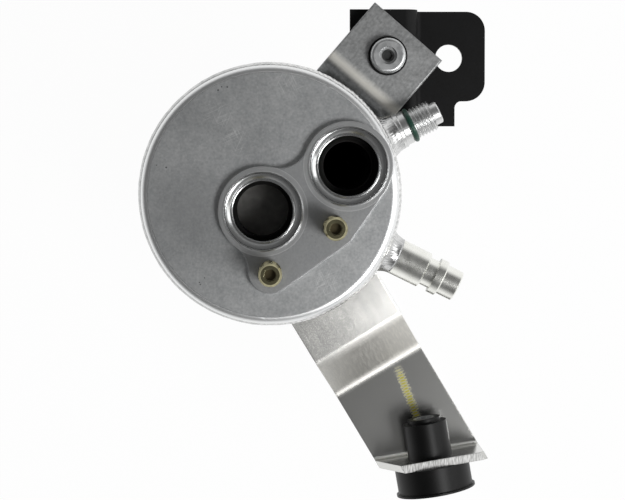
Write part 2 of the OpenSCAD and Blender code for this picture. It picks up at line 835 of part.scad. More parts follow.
module upper_bolt() {
    head_top = bush_top + bolt_head_h;
    color("#c3c5c7") translate([bolt_at[0], bolt_at[1], 0]) difference() {
        union() {
            translate([0, 0, bolt_low])
                cylinder(r = bolt_r, h = head_top - bolt_low - bolt_recess_depth);
            rotate_extrude() {
                translate([0, bush_top]) square([bolt_head_r, bolt_head_h - bolt_head_edge]);
                translate([0, bush_top]) square([bolt_head_r - bolt_head_edge, bolt_head_h]);
                intersection() {
                    translate([bolt_head_r - bolt_head_edge, head_top - bolt_head_edge])
                        circle(r = bolt_head_edge);
                    translate([0, bush_top]) square([2 * bolt_head_r, bolt_head_h]);
                }
            }
        }
        translate([0, 0, head_top - bolt_recess_depth])
            cylinder(r = bolt_recess_r, h = bolt_recess_depth + 1);
        translate([0, 0, head_top - bolt_recess_depth - bolt_socket_depth])
            cylinder(d = bolt_socket_af / cos(30), h = bolt_recess_depth + 1, $fn = 6);
    }
}

module upper_nut() {
    color("#b0b2b4") translate([bolt_at[0], bolt_at[1], nut_top - nut_h]) difference() {
        cylinder(d = nut_af / cos(30), h = nut_h, $fn = 6);
        translate([0, 0, -1]) cylinder(r = bolt_r + seat_gap, h = nut_h + 2);
    }
}

// Plan of the bracket, measured from the bolt
module bracket_outline() {
    lower_x = bracket_step - bracket_t;
    corner_x = bracket_right - bracket_corner_r;
    translate([-bracket_left, -bracket_foot])
        square([bracket_left + bracket_step, bracket_foot + bracket_top]);
    translate([lower_x, -bracket_bottom])
        square([corner_x - lower_x, bracket_bottom + bracket_top]);
    translate([lower_x, -bracket_bottom + bracket_corner_r])
        square([bracket_right - lower_x, bracket_bottom + bracket_top - 2 * bracket_corner_r]);
    for (y = [-bracket_bottom + bracket_corner_r, bracket_top - bracket_corner_r])
        translate([corner_x, y]) circle(r = bracket_corner_r);
    translate([lower_x, -bracket_foot])
        square([bracket_foot_right - lower_x, bracket_foot - bracket_bottom + 1]);
    translate([bracket_foot_right, -bracket_bottom - bracket_blend_r]) difference() {
        square([bracket_blend_r, bracket_blend_r]);
        translate([bracket_blend_r, 0]) circle(r = bracket_blend_r);
    }
}

module mounting_bracket() {
    mid_r = bracket_bend_r + bracket_t / 2;
    upper_run = bracket_left + bracket_step - bracket_t / 2 - mid_r;
    wall_run = bracket_drop - 2 * mid_r;
    lower_run = bracket_right - bracket_step + bracket_t / 2;
    depth = bracket_foot + bracket_top + 2;
    under = bracket_top_z - 2 * bracket_drop;
    height = 3 * bracket_drop;
    color("#161617") translate([bolt_at[0], bolt_at[1], 0]) difference() {
        intersection() {
            translate([-bracket_left, bracket_top + 1, bracket_top_z - bracket_t / 2]) rotate([90, 0, 0])
                linear_extrude(depth) sheet_section([
                    [upper_run, -90, bracket_bend_r],
                    [wall_run, 90, bracket_bend_r],
                    [lower_run, 0, 0]
                ], bracket_t);
            translate([0, 0, under]) linear_extrude(height) bracket_outline();
            rotate([0, 0, tab_angle])
                translate([tab_t + bracket_clear - tab_bolt_out, -2 * bracket_right, under])
                    cube([4 * bracket_right, 4 * bracket_right, height]);
        }
        translate([0, 0, nut_top - 1]) cylinder(r = bolt_r + bolt_gap, h = bracket_t + 2);
        translate([bracket_hole_dx, 0, bracket_top_z - bracket_drop - bracket_t - 1])
            cylinder(r = bracket_hole_r, h = bracket_t + 2);
    }
}

// Places children in the lip's own frame: X out through the lip, Z up
module at_lip() {
    rotate([0, 0, strap_angle]) translate([lip_at, 0, 0])
        rotate([0, 0, -lip_skew]) children();
}

// Area under one face of the joggled bar, drawn in radius and height.
// The face lies h above the sheet's middle, and the area's far edges are moved out by over.
module under_bar(h, over) {
    mid_r = strap_bend_r + strap_t / 2;
    level = strap_top - strap_t / 2;
    fall_normal = [sin(strap_fall), cos(strap_fall)];
    slope_normal = [sin(strap_slope), cos(strap_slope)];
    upper = [can_r + strap_run, level - strap_run * tan(strap_fall) - mid_r / cos(strap_fall)];
    lower_y = level - strap_drop + mid_r;
    lower_x = upper[0] + (upper[1] - lower_y + 2 * mid_r * cos(strap_slope)) / tan(strap_slope)
        + 2 * mid_r * sin(strap_slope);
    lower = [lower_x, lower_y];
    upper_r = mid_r + h;
    lower_r = mid_r - h;
    bend_start = upper + upper_r * fall_normal;
    start = can_r / 2 - over;
    end = lip_at + strap_w + over;
    deep = level - 3 * strap_drop - over;
    difference() {
        union() {
            polygon([
                [start, deep], [start, bend_start[1] + (bend_start[0] - start) * tan(strap_fall)],
                bend_start, upper, upper + upper_r * slope_normal,
                lower - lower_r * slope_normal, lower,
                lower - [0, lower_r], [end, lower[1] - lower_r], [end, deep]
            ]);
            translate(upper) circle(r = upper_r);
        }
        translate(lower) circle(r = lower_r);
    }
}

// The strap before its lip: flat, joggle and flat, cut square to the lip at its outer end
module strap_bar() {
    difference() {
        across(strap_angle, strap_w) difference() {
            under_bar(strap_t / 2, 0);
            under_bar(-strap_t / 2, 1);
        }
        at_lip() translate([-lip_mid_r, -2 * strap_w, 0])
            cube([4 * strap_w, 4 * strap_w, can_h]);
    }
}

// The bend and the upright lip, with its near end leaning as the slanted bar folds
module strap_lip() {
    top = strap_flat_top + lip_h;
    bend_top = strap_flat_top + lip_bend_r;
    lean = (top - bend_top) * tan(lip_skew) * cos(lip_skew);
    half = strap_w / 2;
    intersection() {
        at_lip() translate([-lip_mid_r - strap_t, strap_w, strap_flat_top - strap_t / 2])
            rotate([90, 0, 0]) linear_extrude(2 * strap_w)
                sheet_section([
                    [strap_t, 90, lip_bend_r],
                    [lip_h - lip_bend_r, 0, 0]
                ], strap_t);
        rotate([0, 0, strap_angle]) rotate([90, 0, 90]) linear_extrude(2 * lip_at) polygon([
            [-half, 0], [half, 0], [half, top - lip_chamfer], [half - lip_chamfer, top],
            [lean - half, top], [-half, bend_top]
        ]);
    }
}

module lower_strap() {
    leg_top = strap_top - strap_t / 2;
    color("#a6a8aa") difference() {
        union() {
            strap_bar();
            strap_lip();
            intersection() {
                translate([0, 0, leg_top - strap_leg_h]) difference() {
                    cylinder(r = can_r + strap_t, h = strap_leg_h);
                    translate([0, 0, -1]) cylinder(r = can_r, h = strap_leg_h + 2);
                }
                rotate([0, 0, strap_angle])
                    translate([0, -strap_w / 2, 0]) cube([2 * can_r, strap_w, can_h]);
            }
        }
        can_body();
        at_lip() translate([-strap_w, 0, isolator_z]) rotate([0, 90, 0])
            cylinder(r = isolator_neck_r + seat_gap, h = 2 * strap_w);
    }
}

module lower_strap_welds() {
    half = strap_w / 2;
    leg_top = strap_top - strap_t;
    along = sqrt(can_r * can_r - half * half);
    color("#c0c2c3") difference() {
        for (side = [-1, 1])
            rotate([0, 0, strap_angle])
                translate([along, side * half, leg_top - strap_leg_h + strap_t / 2])
                    cylinder(r = strap_weld_r, h = strap_leg_h - strap_t);
        can_body();
        rotate([0, 0, strap_angle]) translate([0, -half, 0]) cube([2 * can_r, strap_w, can_h]);
    }
}

// Places children on the isolator's axis, with Z out through the lip
module at_isolator() {
    at_lip() translate([0, 0, isolator_z]) rotate([0, 90, 0]) children();
}

module rubber_isolator() {
    half = strap_t / 2;
    outer_end = half + isolator_outer_len;
    color("#141414") at_isolator() rotate_extrude() difference() {
        union() {
            translate([0, -half - isolator_inner_len]) square([isolator_inner_r, isolator_inner_len]);
            translate([0, -half - isolator_inner_len - isolator_nose])
                square([(isolator_sleeve_r + isolator_inner_r) / 2, isolator_nose + 1]);
            translate([0, -half - eps]) square([isolator_neck_r, strap_t + 2 * eps]);
            translate([0, half]) square([isolator_outer_r, isolator_outer_len]);
            translate([0, outer_end - isolator_flash])
                square([isolator_outer_r + isolator_flash, isolator_flash]);
        }
        translate([0, -2 * strap_w]) square([isolator_sleeve_r + seat_gap, 4 * strap_w]);
    }
}

module isolator_sleeve() {
    half = strap_t / 2;
    inner_end = -half - isolator_inner_len - isolator_nose;
    outer_end = half + isolator_outer_len;
    length = outer_end - inner_end + isolator_flange_t;
    color("#c9ccd2") at_isolator() rotate_extrude() difference() {
        union() {
            translate([0, inner_end]) square([isolator_sleeve_r, length]);
            translate([0, outer_end]) square([isolator_flange_r, isolator_flange_t]);
        }
        translate([0, inner_end - 1]) square([isolator_bore_r, length + 2]);
    }
}

// Places children midway between the tube's legs, with X towards the open leg
module at_legs(z) {
    mid = (outlet + open_leg) / 2;
    translate([mid[0], mid[1], z]) rotate([0, 0, leg_angle]) children();
}

// Half turn of the tube's bend, swept from the section given as children
module half_bend() {
    at_legs(bend_z) rotate([-90, 0, 0])
        rotate_extrude(angle = 180) translate([bend_r, 0]) children();
}

// Section of the tube's wall
module tube_section() {
    difference() {
        circle(r = tube_r);
        circle(r = tube_r - tube_wall);
    }
}

module outlet_u_tube() {
    outlet_top = boss_low + tube_socket;
    color("#b5b7b8") {
        at_legs(bend_z) {
            translate([-bend_r, 0, 0]) linear_extrude(outlet_top - bend_z) tube_section();
            translate([bend_r, 0, 0]) linear_extrude(open_leg_top - bend_z) tube_section();
        }
        difference() {
            half_bend() tube_section();
            at_legs(tube_low - 1) cylinder(r = bleed_r, h = tube_wall + 2);
        }
    }
}

module inlet_deflector() {
    sphere_r = (deflector_r * deflector_r + deflector_rise * deflector_rise) / (2 * deflector_rise);
    crown = deflector_top - sphere_r;
    rim_z = deflector_top - deflector_rise;
    color("#b5b7b8") difference() {
        union() {
            rotate_extrude() intersection() {
                translate([0, crown]) difference() {
                    circle(r = sphere_r, $fn = 360);
                    circle(r = sphere_r - deflector_t, $fn = 360);
                }
                translate([0, rim_z - deflector_t]) square([deflector_r, 2 * deflector_rise]);
            }
            translate([outlet_x, outlet_y, rim_z - deflector_collar_h / 2])
                cylinder(r = tube_r + tube_gap + deflector_t, h = deflector_collar_h);
        }
        translate([outlet_x, outlet_y, 0]) cylinder(r = tube_r + tube_gap, h = can_h);
    }
}

module oil_filter_cup() {
    low = base_t + soft_gap;
    color("#e8e4d8") difference() {
        at_legs(low) cylinder(r = filter_cup_r, h = tube_low + tube_r / 2 - low);
        at_legs(low + filter_wall) cylinder(r = filter_cup_r - filter_wall, h = tube_low - low);
        half_bend() circle(r = tube_r + tube_gap);
        for (turn = [0, 90])
            at_legs(low + filter_wall + filter_window_h / 2) rotate([0, 0, turn])
                cube([4 * filter_cup_r, filter_window_w, filter_window_h], center = true);
    }
}

module oil_filter_screen() {
    low = base_t + soft_gap + filter_wall;
    screen_r = filter_cup_r - filter_wall - seat_gap;
    color("#d9d9d2") at_legs(low) difference() {
        cylinder(r = screen_r, h = filter_window_h + filter_wall);
        translate([0, 0, -1])
            cylinder(r = screen_r - screen_t, h = filter_window_h + filter_wall + 2);
    }
}

// Outline of the bag between the tube's legs, with its hollowed sides clear of them
module bag_outline() {
    half = leg_pitch / 2;
    difference() {
        square([leg_pitch - tube_r, bag_w], center = true);
        for (side = [-1, 1]) translate([side * half, 0]) circle(r = tube_r + soft_gap);
    }
}

module desiccant_bag() {
    color("#e6e2d6") at_legs(bag_low) linear_extrude(bag_h) bag_outline();
}

module bag_tie() {
    inner = tube_r + soft_gap;
    color("#ecebe6") at_legs(bag_low + bag_h / 2) difference() {
        linear_extrude(tie_h) {
            for (side = [-1, 1]) translate([side * leg_pitch / 2, 0]) circle(r = inner + tie_t);
            square([leg_pitch, 2 * (inner + tie_t)], center = true);
        }
        translate([0, 0, -1]) linear_extrude(tie_h + 2) {
            for (side = [-1, 1]) translate([side * leg_pitch / 2, 0]) circle(r = inner);
            square([leg_pitch, 2 * inner], center = true);
        }
    }
}

canister_cap();
canister_shell();
girth_weld();
port_studs();
switch_fitting();
switch_fitting_weld();
switch_o_ring();
switch_valve_core();
switch_valve_pin();
switch_valve_spring();
service_port();
service_port_weld();
service_valve_core();
service_valve_pin();
service_valve_spring();
upper_tab();
upper_tab_welds();
upper_bush();
upper_sleeve();
upper_bolt();
upper_nut();
mounting_bracket();
lower_strap();
lower_strap_welds();
rubber_isolator();
isolator_sleeve();
outlet_u_tube();
inlet_deflector();
oil_filter_cup();
oil_filter_screen();
desiccant_bag();
bag_tie();
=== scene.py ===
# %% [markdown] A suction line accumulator, looked at straight from above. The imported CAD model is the
# fixed frame. This script gives every piece its finish, and models what the solids leave plain: the
# ripples of the weld beads, the threads and the shallow mouths of the ports.

# %% Load the frame
import json
from math import cos, pi, radians, sin, sqrt, tau

import bmesh
import bpy
from mathutils import Matrix, Vector


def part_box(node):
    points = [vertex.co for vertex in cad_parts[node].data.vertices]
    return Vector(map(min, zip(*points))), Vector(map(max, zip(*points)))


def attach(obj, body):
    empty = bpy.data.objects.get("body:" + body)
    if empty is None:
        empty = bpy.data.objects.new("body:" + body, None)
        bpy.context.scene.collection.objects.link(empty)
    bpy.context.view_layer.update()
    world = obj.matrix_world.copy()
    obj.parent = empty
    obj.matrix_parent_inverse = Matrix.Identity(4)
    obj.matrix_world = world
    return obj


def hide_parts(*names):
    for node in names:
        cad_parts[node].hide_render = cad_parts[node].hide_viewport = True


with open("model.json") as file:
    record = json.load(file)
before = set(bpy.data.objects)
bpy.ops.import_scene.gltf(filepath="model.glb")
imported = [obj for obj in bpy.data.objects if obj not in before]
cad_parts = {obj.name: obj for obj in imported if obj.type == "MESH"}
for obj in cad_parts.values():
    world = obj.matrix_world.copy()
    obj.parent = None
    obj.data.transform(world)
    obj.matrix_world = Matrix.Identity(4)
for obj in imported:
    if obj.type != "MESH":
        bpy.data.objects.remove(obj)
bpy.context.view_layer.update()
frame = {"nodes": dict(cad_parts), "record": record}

mm = 0.001
nodes = frame["nodes"]
mounts = {m["name"]: m for m in frame["record"]["mounts"]}
print("frame:", len(nodes), "CAD nodes,", len(mounts), "mounts")

# %% [markdown]
# Places that finishes and added pieces need are read from the frame, so they follow the CAD part: the
# fittings from their mounts, the can's radius and the seam from a node's box.

# %% Places on the part
up = Vector((0, 0, 1))
can_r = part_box("canister_shell")[1].x / mm
seam_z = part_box("canister_shell")[1].z / mm
switch_axis = Vector(mounts["switch_thread"]["axis"])
service_axis = Vector(mounts["service_tip"]["axis"])
fitting_z = mounts["switch_thread"]["pos_m"][2] / mm
print("can radius", round(can_r, 2), "seam at", round(seam_z, 2), "fittings at", round(fitting_z, 2))

# %% [markdown]
# Colours are written as sRGB hex values, as read from a swatch, and Blender's shaders work in linear
# light, so one function turns the one into the other. A second one adds a node with its settings and
# links. Its inputs are values, sockets or whole nodes, and it serves shader and geometry trees alike: a
# kind without a prefix is a ShaderNode. Pattern scales are worked out from a size in millimetres.

# %% Colour, node and pattern helpers
def linear(code):
    """Linear RGBA of an sRGB hex value such as '#9a9c9e'."""
    channels = [int(code[i:i + 2], 16) / 255 for i in (1, 3, 5)]
    return [c / 12.92 if c < 0.04045 else ((c + 0.055) / 1.055) ** 2.4 for c in channels] + [1]


def add(tree, kind, inputs=None, **settings):
    """Adds a node, with its settings, and its inputs set to values or linked from sockets or nodes."""
    node = tree.nodes.new(kind if "Node" in kind else "ShaderNode" + kind)
    for name, value in settings.items():
        setattr(node, name, value)
    for key, value in (inputs or {}).items():
        if isinstance(value, bpy.types.Node):
            value = next(s for s in value.outputs if s.enabled)
        if isinstance(value, bpy.types.NodeSocket):
            tree.links.new(value, node.inputs[key])
        else:
            node.inputs[key].default_value = value
    return node


def per_metre(size):
    """Texture scale whose features are this many millimetres across."""
    return 1 / (size * mm)


print("helpers ready, middle grey is", round(linear("#808080")[0], 3))

# %% [markdown]
# A finish could be drawn as one big tree. Here it grows in layers instead, as it does in a workshop:
# first a colour that runs between two tones, a roughness that wanders and a fine relief, and then
# marks, dirt and turned faces that are laid over it wherever a mask is one.

# %% The layers of a finish
def finish(name, **values):
    """A new material: its tree, its shader with these uniform values set, and the Object coordinates."""
    material = bpy.data.materials.new(name)
    material.use_nodes = True
    tree = material.node_tree
    shader = tree.nodes["Principled BSDF"]
    for key, value in values.items():
        shader.inputs[key.replace("_", " ")].default_value = value
    return material, tree, shader, add(tree, "TexCoord").outputs["Object"]


def tinted(tree, shader, tone, low, high, dark, light):
    """Lets the colour run from dark to light as the tone goes from low to high."""
    tone = add(tree, "MapRange", {"Value": tone, "From Min": low, "From Max": high})
    base = add(tree, "Mix", {0: tone, 6: linear(dark), 7: linear(light)}, data_type="RGBA")
    tree.links.new(base.outputs[2], shader.inputs["Base Color"])


def roughened(tree, shader, noise, low, high):
    """Lets the roughness wander between two values with a noise."""
    rough = add(tree, "MapRange", {"Value": noise, "From Min": 0.3, "From Max": 0.7,
                                   "To Min": low, "To Max": high})
    tree.links.new(rough.outputs[0], shader.inputs["Roughness"])


def embossed(tree, shader, height, depth, strength, corner=0):
    """Gives the skin a relief of some depth, and rounds the light on corners, both in millimetres."""
    relief = {"Height": height, "Distance": depth * mm, "Strength": strength}
    if corner:
        relief["Normal"] = add(tree, "Bevel", {"Radius": corner * mm}, samples=4)
    tree.links.new(add(tree, "Bump", relief).outputs[0], shader.inputs["Normal"])


def lay_over(tree, shader, mask, colour, roughness=None):
    """Lays a colour or a socket's colours, and a roughness, over a finish where the mask is one."""
    under = shader.inputs["Base Color"].links[0].from_socket
    colour = linear(colour) if isinstance(colour, str) else colour
    over = add(tree, "Mix", {0: mask, 6: under, 7: colour}, data_type="RGBA")
    tree.links.new(over.outputs[2], shader.inputs["Base Color"])
    if roughness is not None:
        under = shader.inputs["Roughness"].links[0].from_socket
        over = add(tree, "Mix", {0: mask, 2: under, 3: roughness})
        tree.links.new(over.outputs[0], shader.inputs["Roughness"])


print("layer helpers ready")

# %% [markdown]
# Masks and patterns come back in many finishes, so they get words of their own: where several masks
# meet, where a value lies in a stretch, what is above a height, how far a point is from an upright
# axis, and a noise that is drawn out along one direction.

# %% Masks and drawn-out noise
def all_of(tree, first, *others):
    """A mask that is one only where all of these are."""
    for other in others:
        first = add(tree, "Math", {0: first, 1: other}, operation="MULTIPLY")
    return first


def stretch_of(tree, value, rise, fall, top=1):
    """A mask that rises over one range of a value and falls over another, both in millimetres."""
    into = add(tree, "MapRange", {"Value": value, "From Min": rise[0] * mm, "From Max": rise[1] * mm})
    over = add(tree, "MapRange", {"Value": value, "From Min": fall[0] * mm, "From Max": fall[1] * mm,
                                  "To Min": top, "To Max": 0})
    return all_of(tree, into, over)


def above(tree, place, z):
    """A mask that is one above this height."""
    height = add(tree, "SeparateXYZ", {0: place}).outputs["Z"]
    return add(tree, "Math", {0: height, 1: z}, operation="GREATER_THAN")


def plan_reach(tree, place, middle):
    """Distance in plan from an upright axis through this point."""
    arm = add(tree, "VectorMath", {0: place, 1: middle}, operation="SUBTRACT")
    arm = add(tree, "VectorMath", {0: arm, 1: (1, 1, 0)}, operation="MULTIPLY")
    return add(tree, "VectorMath", {0: arm}, operation="LENGTH")


def drawn_noise(tree, place, sizes, turned, detail):
    """Noise with features of these millimetres along three axes, of which X is turned about Z."""
    along = add(tree, "Mapping", {"Vector": place, "Rotation": (0, 0, radians(-turned))})
    along = add(tree, "VectorMath", {0: along, 1: [per_metre(size) for size in sizes]}, operation="MULTIPLY")
    return add(tree, "TexNoise", {"Vector": along, "Scale": 1, "Detail": detail})


print("masks and noise ready")

# %% [markdown]
# Bare aluminium looks grey because it mirrors a mostly dim room, so its colour is set pale and its
# roughness does the rest. One function makes the satin skin that the cap, the can and the bent sheet
# share: a fine grain, a slow wander of the tone, and faint lines along the direction in which the
# metal was drawn or rolled. A bevel node rounds the light on sharp edges. The tube's upper end, which
# one sees down in the outlet, carries painted shade: its colour is set near black.

# %% Satin aluminium
def satin_aluminium(name, dark, light, roughness, lines, turned=0, grain=0.8, corner=0.3, relief=0.04):
    """Lines are the sizes of the drawn or rolled pattern along three axes. All sizes in millimetres."""
    material, tree, shader, place = finish(name, Metallic=1)
    fine = add(tree, "TexNoise", {"Vector": place, "Scale": per_metre(grain), "Detail": 4})
    wander = add(tree, "TexNoise", {"Vector": place, "Scale": per_metre(13), "Detail": 4})
    streaks = drawn_noise(tree, place, lines, turned, 2)
    tone = add(tree, "Math", {0: wander, 1: 0.35, 2: fine}, operation="MULTIPLY_ADD")
    tone = add(tree, "Math", {0: streaks, 1: 0.4, 2: tone}, operation="MULTIPLY_ADD")
    tinted(tree, shader, tone, 0.62, 1.13, dark, light)
    roughened(tree, shader, wander, roughness - 0.02, roughness + 0.02)
    embossed(tree, shader, fine, relief, 0.6, corner)
    return material, tree, shader, place


drawn_lines, shade_from, shade_full = (0.5, 0.5, 60), 160, 170
can_finish = satin_aluminium("aluminium, deep drawn", "#a6a8aa", "#bdbebe", 0.33, drawn_lines)[0]
tube_finish, tree, shader, place = satin_aluminium("aluminium, drawn tube", "#8e9091", "#a4a5a5", 0.35,
                                                   drawn_lines)
height = add(tree, "SeparateXYZ", {0: place}).outputs["Z"]
tube_shade = add(tree, "MapRange", {"Value": height, "From Min": shade_from * mm, "From Max": shade_full * mm})
# Painted shade: the tube is set near black from 160 mm up, fully from 170 mm, deep in the outlet.
lay_over(tree, shader, tube_shade, "#2a2a29", 0.55)
print("made", can_finish.name, "and", tube_finish.name)

# %% [markdown]
# The cap has the same skin with marks of its use: dark pits in small clusters and short scratches in
# patches. Left of the ports a painted dark reflection lies on it, a soft darker patch. Voronoi cells
# give the pits, and a drawn-out noise the scratches. Either shows only near the places where the
# photograph has it, which are given in plan.

# %% The cap's skin and painted dark reflection
def near_spots(tree, place, spots, radius):
    """A mask that is one at these places in plan, in millimetres, and fades out at the radius."""
    nearest = 1.0
    for x, y in spots:
        away = plan_reach(tree, place, (x * mm, y * mm, 0))
        nearest = add(tree, "Math", {0: away, 1: nearest}, operation="MINIMUM")
    return add(tree, "MapRange", {"Value": nearest, "From Min": radius / 2 * mm, "From Max": radius * mm,
                                  "To Min": 1, "To Max": 0})


dark_reflection_at, dark_reflection_full, dark_reflection_end = Vector((-27, -7, 190)) * mm, 4, 19
cap_finish, tree, shader, place = satin_aluminium(
    "aluminium, machined satin", "#a4a6a7", "#bfc0c0", 0.46, (3, 3, 3), corner=0.5)
# Painted dark reflection: a soft darker patch left of the ports, strongest at its middle.
dark_reflection = add(tree, "VectorMath", {0: place, 1: dark_reflection_at}, operation="DISTANCE")
dark_reflection = add(tree, "MapRange", {"Value": dark_reflection, "From Min": dark_reflection_full * mm, "From Max": dark_reflection_end * mm,
                                "To Min": 0.5, "To Max": 0})
lay_over(tree, shader, dark_reflection, "#8b8c8d")
print("made", cap_finish.name)

# %% The cap's scratches and pits
pit_spots, pit_reach = ((-25, -28), (-22, 5), (-37, 11), (-17, 38), (16, -14)), 4
scuff_spots, scuff_reach = ((-18, 27), (-12, 19), (7, 38), (19, -30)), 6
scuffed = near_spots(tree, place, scuff_spots, scuff_reach)
for turned in (24, 117, 66):
    hair = drawn_noise(tree, place, (7, 0.3, 7), turned, 0)
    scratch = add(tree, "MapRange", {"Value": hair, "From Min": 0.64, "From Max": 0.72, "To Max": 0.36})
    lay_over(tree, shader, all_of(tree, scratch, scuffed), "#e2e3e2")
pitted = near_spots(tree, place, pit_spots, pit_reach)
cells = add(tree, "TexVoronoi", {"Vector": place, "Scale": per_metre(1.6)})
chosen = add(tree, "SeparateColor", {"Color": cells.outputs["Color"]})
size = add(tree, "MapRange", {"Value": chosen, "From Min": 0.4, "To Max": 0.26})
size = all_of(tree, size, pitted)
pit = add(tree, "Math", {0: cells.outputs["Distance"], 1: size}, operation="LESS_THAN")
lay_over(tree, shader, pit, "#4a4b4c", 0.6)
print(len(scuff_spots), "patches of scratches and", len(pit_spots), "clusters of pits")

# %% [markdown]
# The cap's rounded rim was turned, and carries a painted highlight: its colour is set much paler than
# the face's. The raised pad was milled smoother than the face round it, and its colour is set darker.
# Its forged side carries painted light, a pale colour that lifts the shade on it. These could be pieces
# of their own, but they are one metal, so masks by height tell them apart.

# %% The rim's painted highlight, the pad and the painted light on its side
rim_rise, pad_rise, rim_highlight_full, rim_highlight_end = 0.3, 3, 2.2, 3.7
pad_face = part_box("canister_cap")[1].z - rim_rise * mm
cap_face = pad_face - pad_rise * mm
height = add(tree, "SeparateXYZ", {0: place}).outputs["Z"]
below = add(tree, "Math", {0: height, 1: cap_face - 0.05 * mm}, operation="LESS_THAN")
fade = add(tree, "MapRange", {"Value": height, "From Min": cap_face - rim_highlight_end * mm,
                              "From Max": cap_face - rim_highlight_full * mm})
# Painted highlight: the rounded rim below the face is laid over near white.
lay_over(tree, shader, all_of(tree, below, fade), "#eeefef", 0.38)
pad = all_of(tree, above(tree, place, pad_face - 0.1 * mm), 0.6)
lay_over(tree, shader, pad, "#a2a3a4", 0.36)
high = add(tree, "Math", {0: height, 1: pad_face - 0.1 * mm}, operation="LESS_THAN")
# Painted light: the pad's side is laid over pale, lifting the shade on it.
lay_over(tree, shader, all_of(tree, above(tree, place, cap_face + 0.4 * mm), high), "#e2e3e3", 0.5)
print("cap face at", round(cap_face / mm, 2), "mm, pad face at", round(pad_face / mm, 2), "mm")

# %% [markdown]
# Round each port the pad was faced with a cutter, which left a pale disc. Its edge carries a painted
# highlight, a bright ring. The mouths are turned to seal, so their bevels are smooth and carry fine
# rings, and the bores below carry painted shade, a near-black colour. All of these follow the distance
# to the nearer port's axis.

# %% The ports' faced discs with painted edge highlights, turned bevels and painted shade in the bores
port_r, mouth_r, disc_r, edge_highlight_r = mounts["inlet_port"]["dims"]["r_mm"], 13.6, 15.2, 15.5
reaches = [plan_reach(tree, place, mounts[port]["pos_m"]) for port in ("inlet_port", "outlet_port")]
reach = add(tree, "Math", dict(enumerate(reaches)), operation="MINIMUM")
rings = add(tree, "TexNoise", {"W": reach, "Scale": per_metre(0.16)}, noise_dimensions="1D")
rings = add(tree, "Mix", {0: rings, 6: linear("#a8a9a9"), 7: linear("#d6d7d7")}, data_type="RGBA")
# The disc's bright edge is a painted highlight, and the near-black bores are painted shade.
for radius, colour, roughness, share in ((edge_highlight_r, "#e4e5e5", 0.34, pad),
                                         (disc_r, "#b6b7b7", 0.34, pad),
                                         (mouth_r + 0.02, rings, 0.2, 1.0),
                                         (port_r + 0.04, "#1f1f1e", 0.55, 1.0)):
    inside = add(tree, "Math", {0: reach, 1: radius * mm}, operation="LESS_THAN")
    lay_over(tree, shader, all_of(tree, inside, share), colour, roughness)
print("discs to", disc_r, "mm, bores darkened inside", round(port_r, 2), "mm")

# %% [markdown]
# The tab is a bar that was bent down where it meets the can. The bend stretched its skin, which is
# rougher there and carries a painted highlight, a near-white colour. Its edges were rounded in a
# tumbler, so they catch the light.

# %% The tab's skin and the painted highlight on its bend
tab_angle, bend_rise, bend_fall = 49.2, (49.2, 50.8), (52, 54.5)
tab_finish, tree, shader, place = satin_aluminium(
    "aluminium, rolled and bent", "#999a9a", "#c3c4c4", 0.4, (9, 0.7, 9), round(tab_angle), grain=1.1,
    corner=0.9)
tab_way = Vector((cos(radians(tab_angle)), sin(radians(tab_angle)), 0))
station = add(tree, "VectorMath", {0: place, 1: tab_way}, operation="DOT_PRODUCT")
# Painted highlight: the bend is laid over near white.
bent = stretch_of(tree, station, bend_rise, bend_fall, 0.85)
lay_over(tree, shader, bent, "#f4f1e9", 0.6)
print("made", tab_finish.name, "with its bend", bend_rise[0], "mm out")

# %% [markdown]
# The strap is smoother than the tab. Its slope carries painted highlights: pale, rough dashes, stronger
# towards the side fittings, where the light falls. The flat beyond it kept the bright skin of the rolled
# sheet.

# %% The strap's skin and the painted highlight on its slope
strap_angle, slope_rise, slope_fall = -59.2, (63.5, 66), (79, 82)
flat_from, flat_full, edge_low, edge_high = 80.6, 82.6, -16, 12
strap_finish, tree, shader, place = satin_aluminium(
    "aluminium, rolled smooth and bent", "#adadab", "#cccbc7", 0.2, (30, 0.8, 30), round(strap_angle),
    grain=0.5, corner=0.6, relief=0.01)
strap_way = Vector((cos(radians(strap_angle)), sin(radians(strap_angle)), 0))
station = add(tree, "VectorMath", {0: place, 1: strap_way}, operation="DOT_PRODUCT")
across = add(tree, "VectorMath", {0: place, 1: up.cross(strap_way)}, operation="DOT_PRODUCT")
across = add(tree, "MapRange", {"Value": across, "From Min": edge_low * mm, "From Max": edge_high * mm,
                                "To Min": 0.6})
# Painted highlight: pale dashes on the slope, stronger towards the lit side.
dashes = drawn_noise(tree, place, (3, 0.6, 3), strap_angle, 1)
dashes = add(tree, "MapRange", {"Value": dashes, "From Min": 0.45, "From Max": 0.65, "To Min": 0.8})
bent = all_of(tree, stretch_of(tree, station, slope_rise, slope_fall), dashes, across)
lay_over(tree, shader, bent, "#eeece6", 0.62)
flat = add(tree, "MapRange", {"Value": station, "From Min": flat_from * mm, "From Max": flat_full * mm,
                              "To Max": 0.9})
lay_over(tree, shader, flat, "#d2d2cf", 0.19)
print("made", strap_finish.name)

# %% [markdown]
# On the strap's flat lies a yellow streak, drawn towards the isolator in short strokes. It could be a
# thin piece of its own, but it has no thickness to see, so it is a mask by the distance from a line,
# with a fuzzy edge.

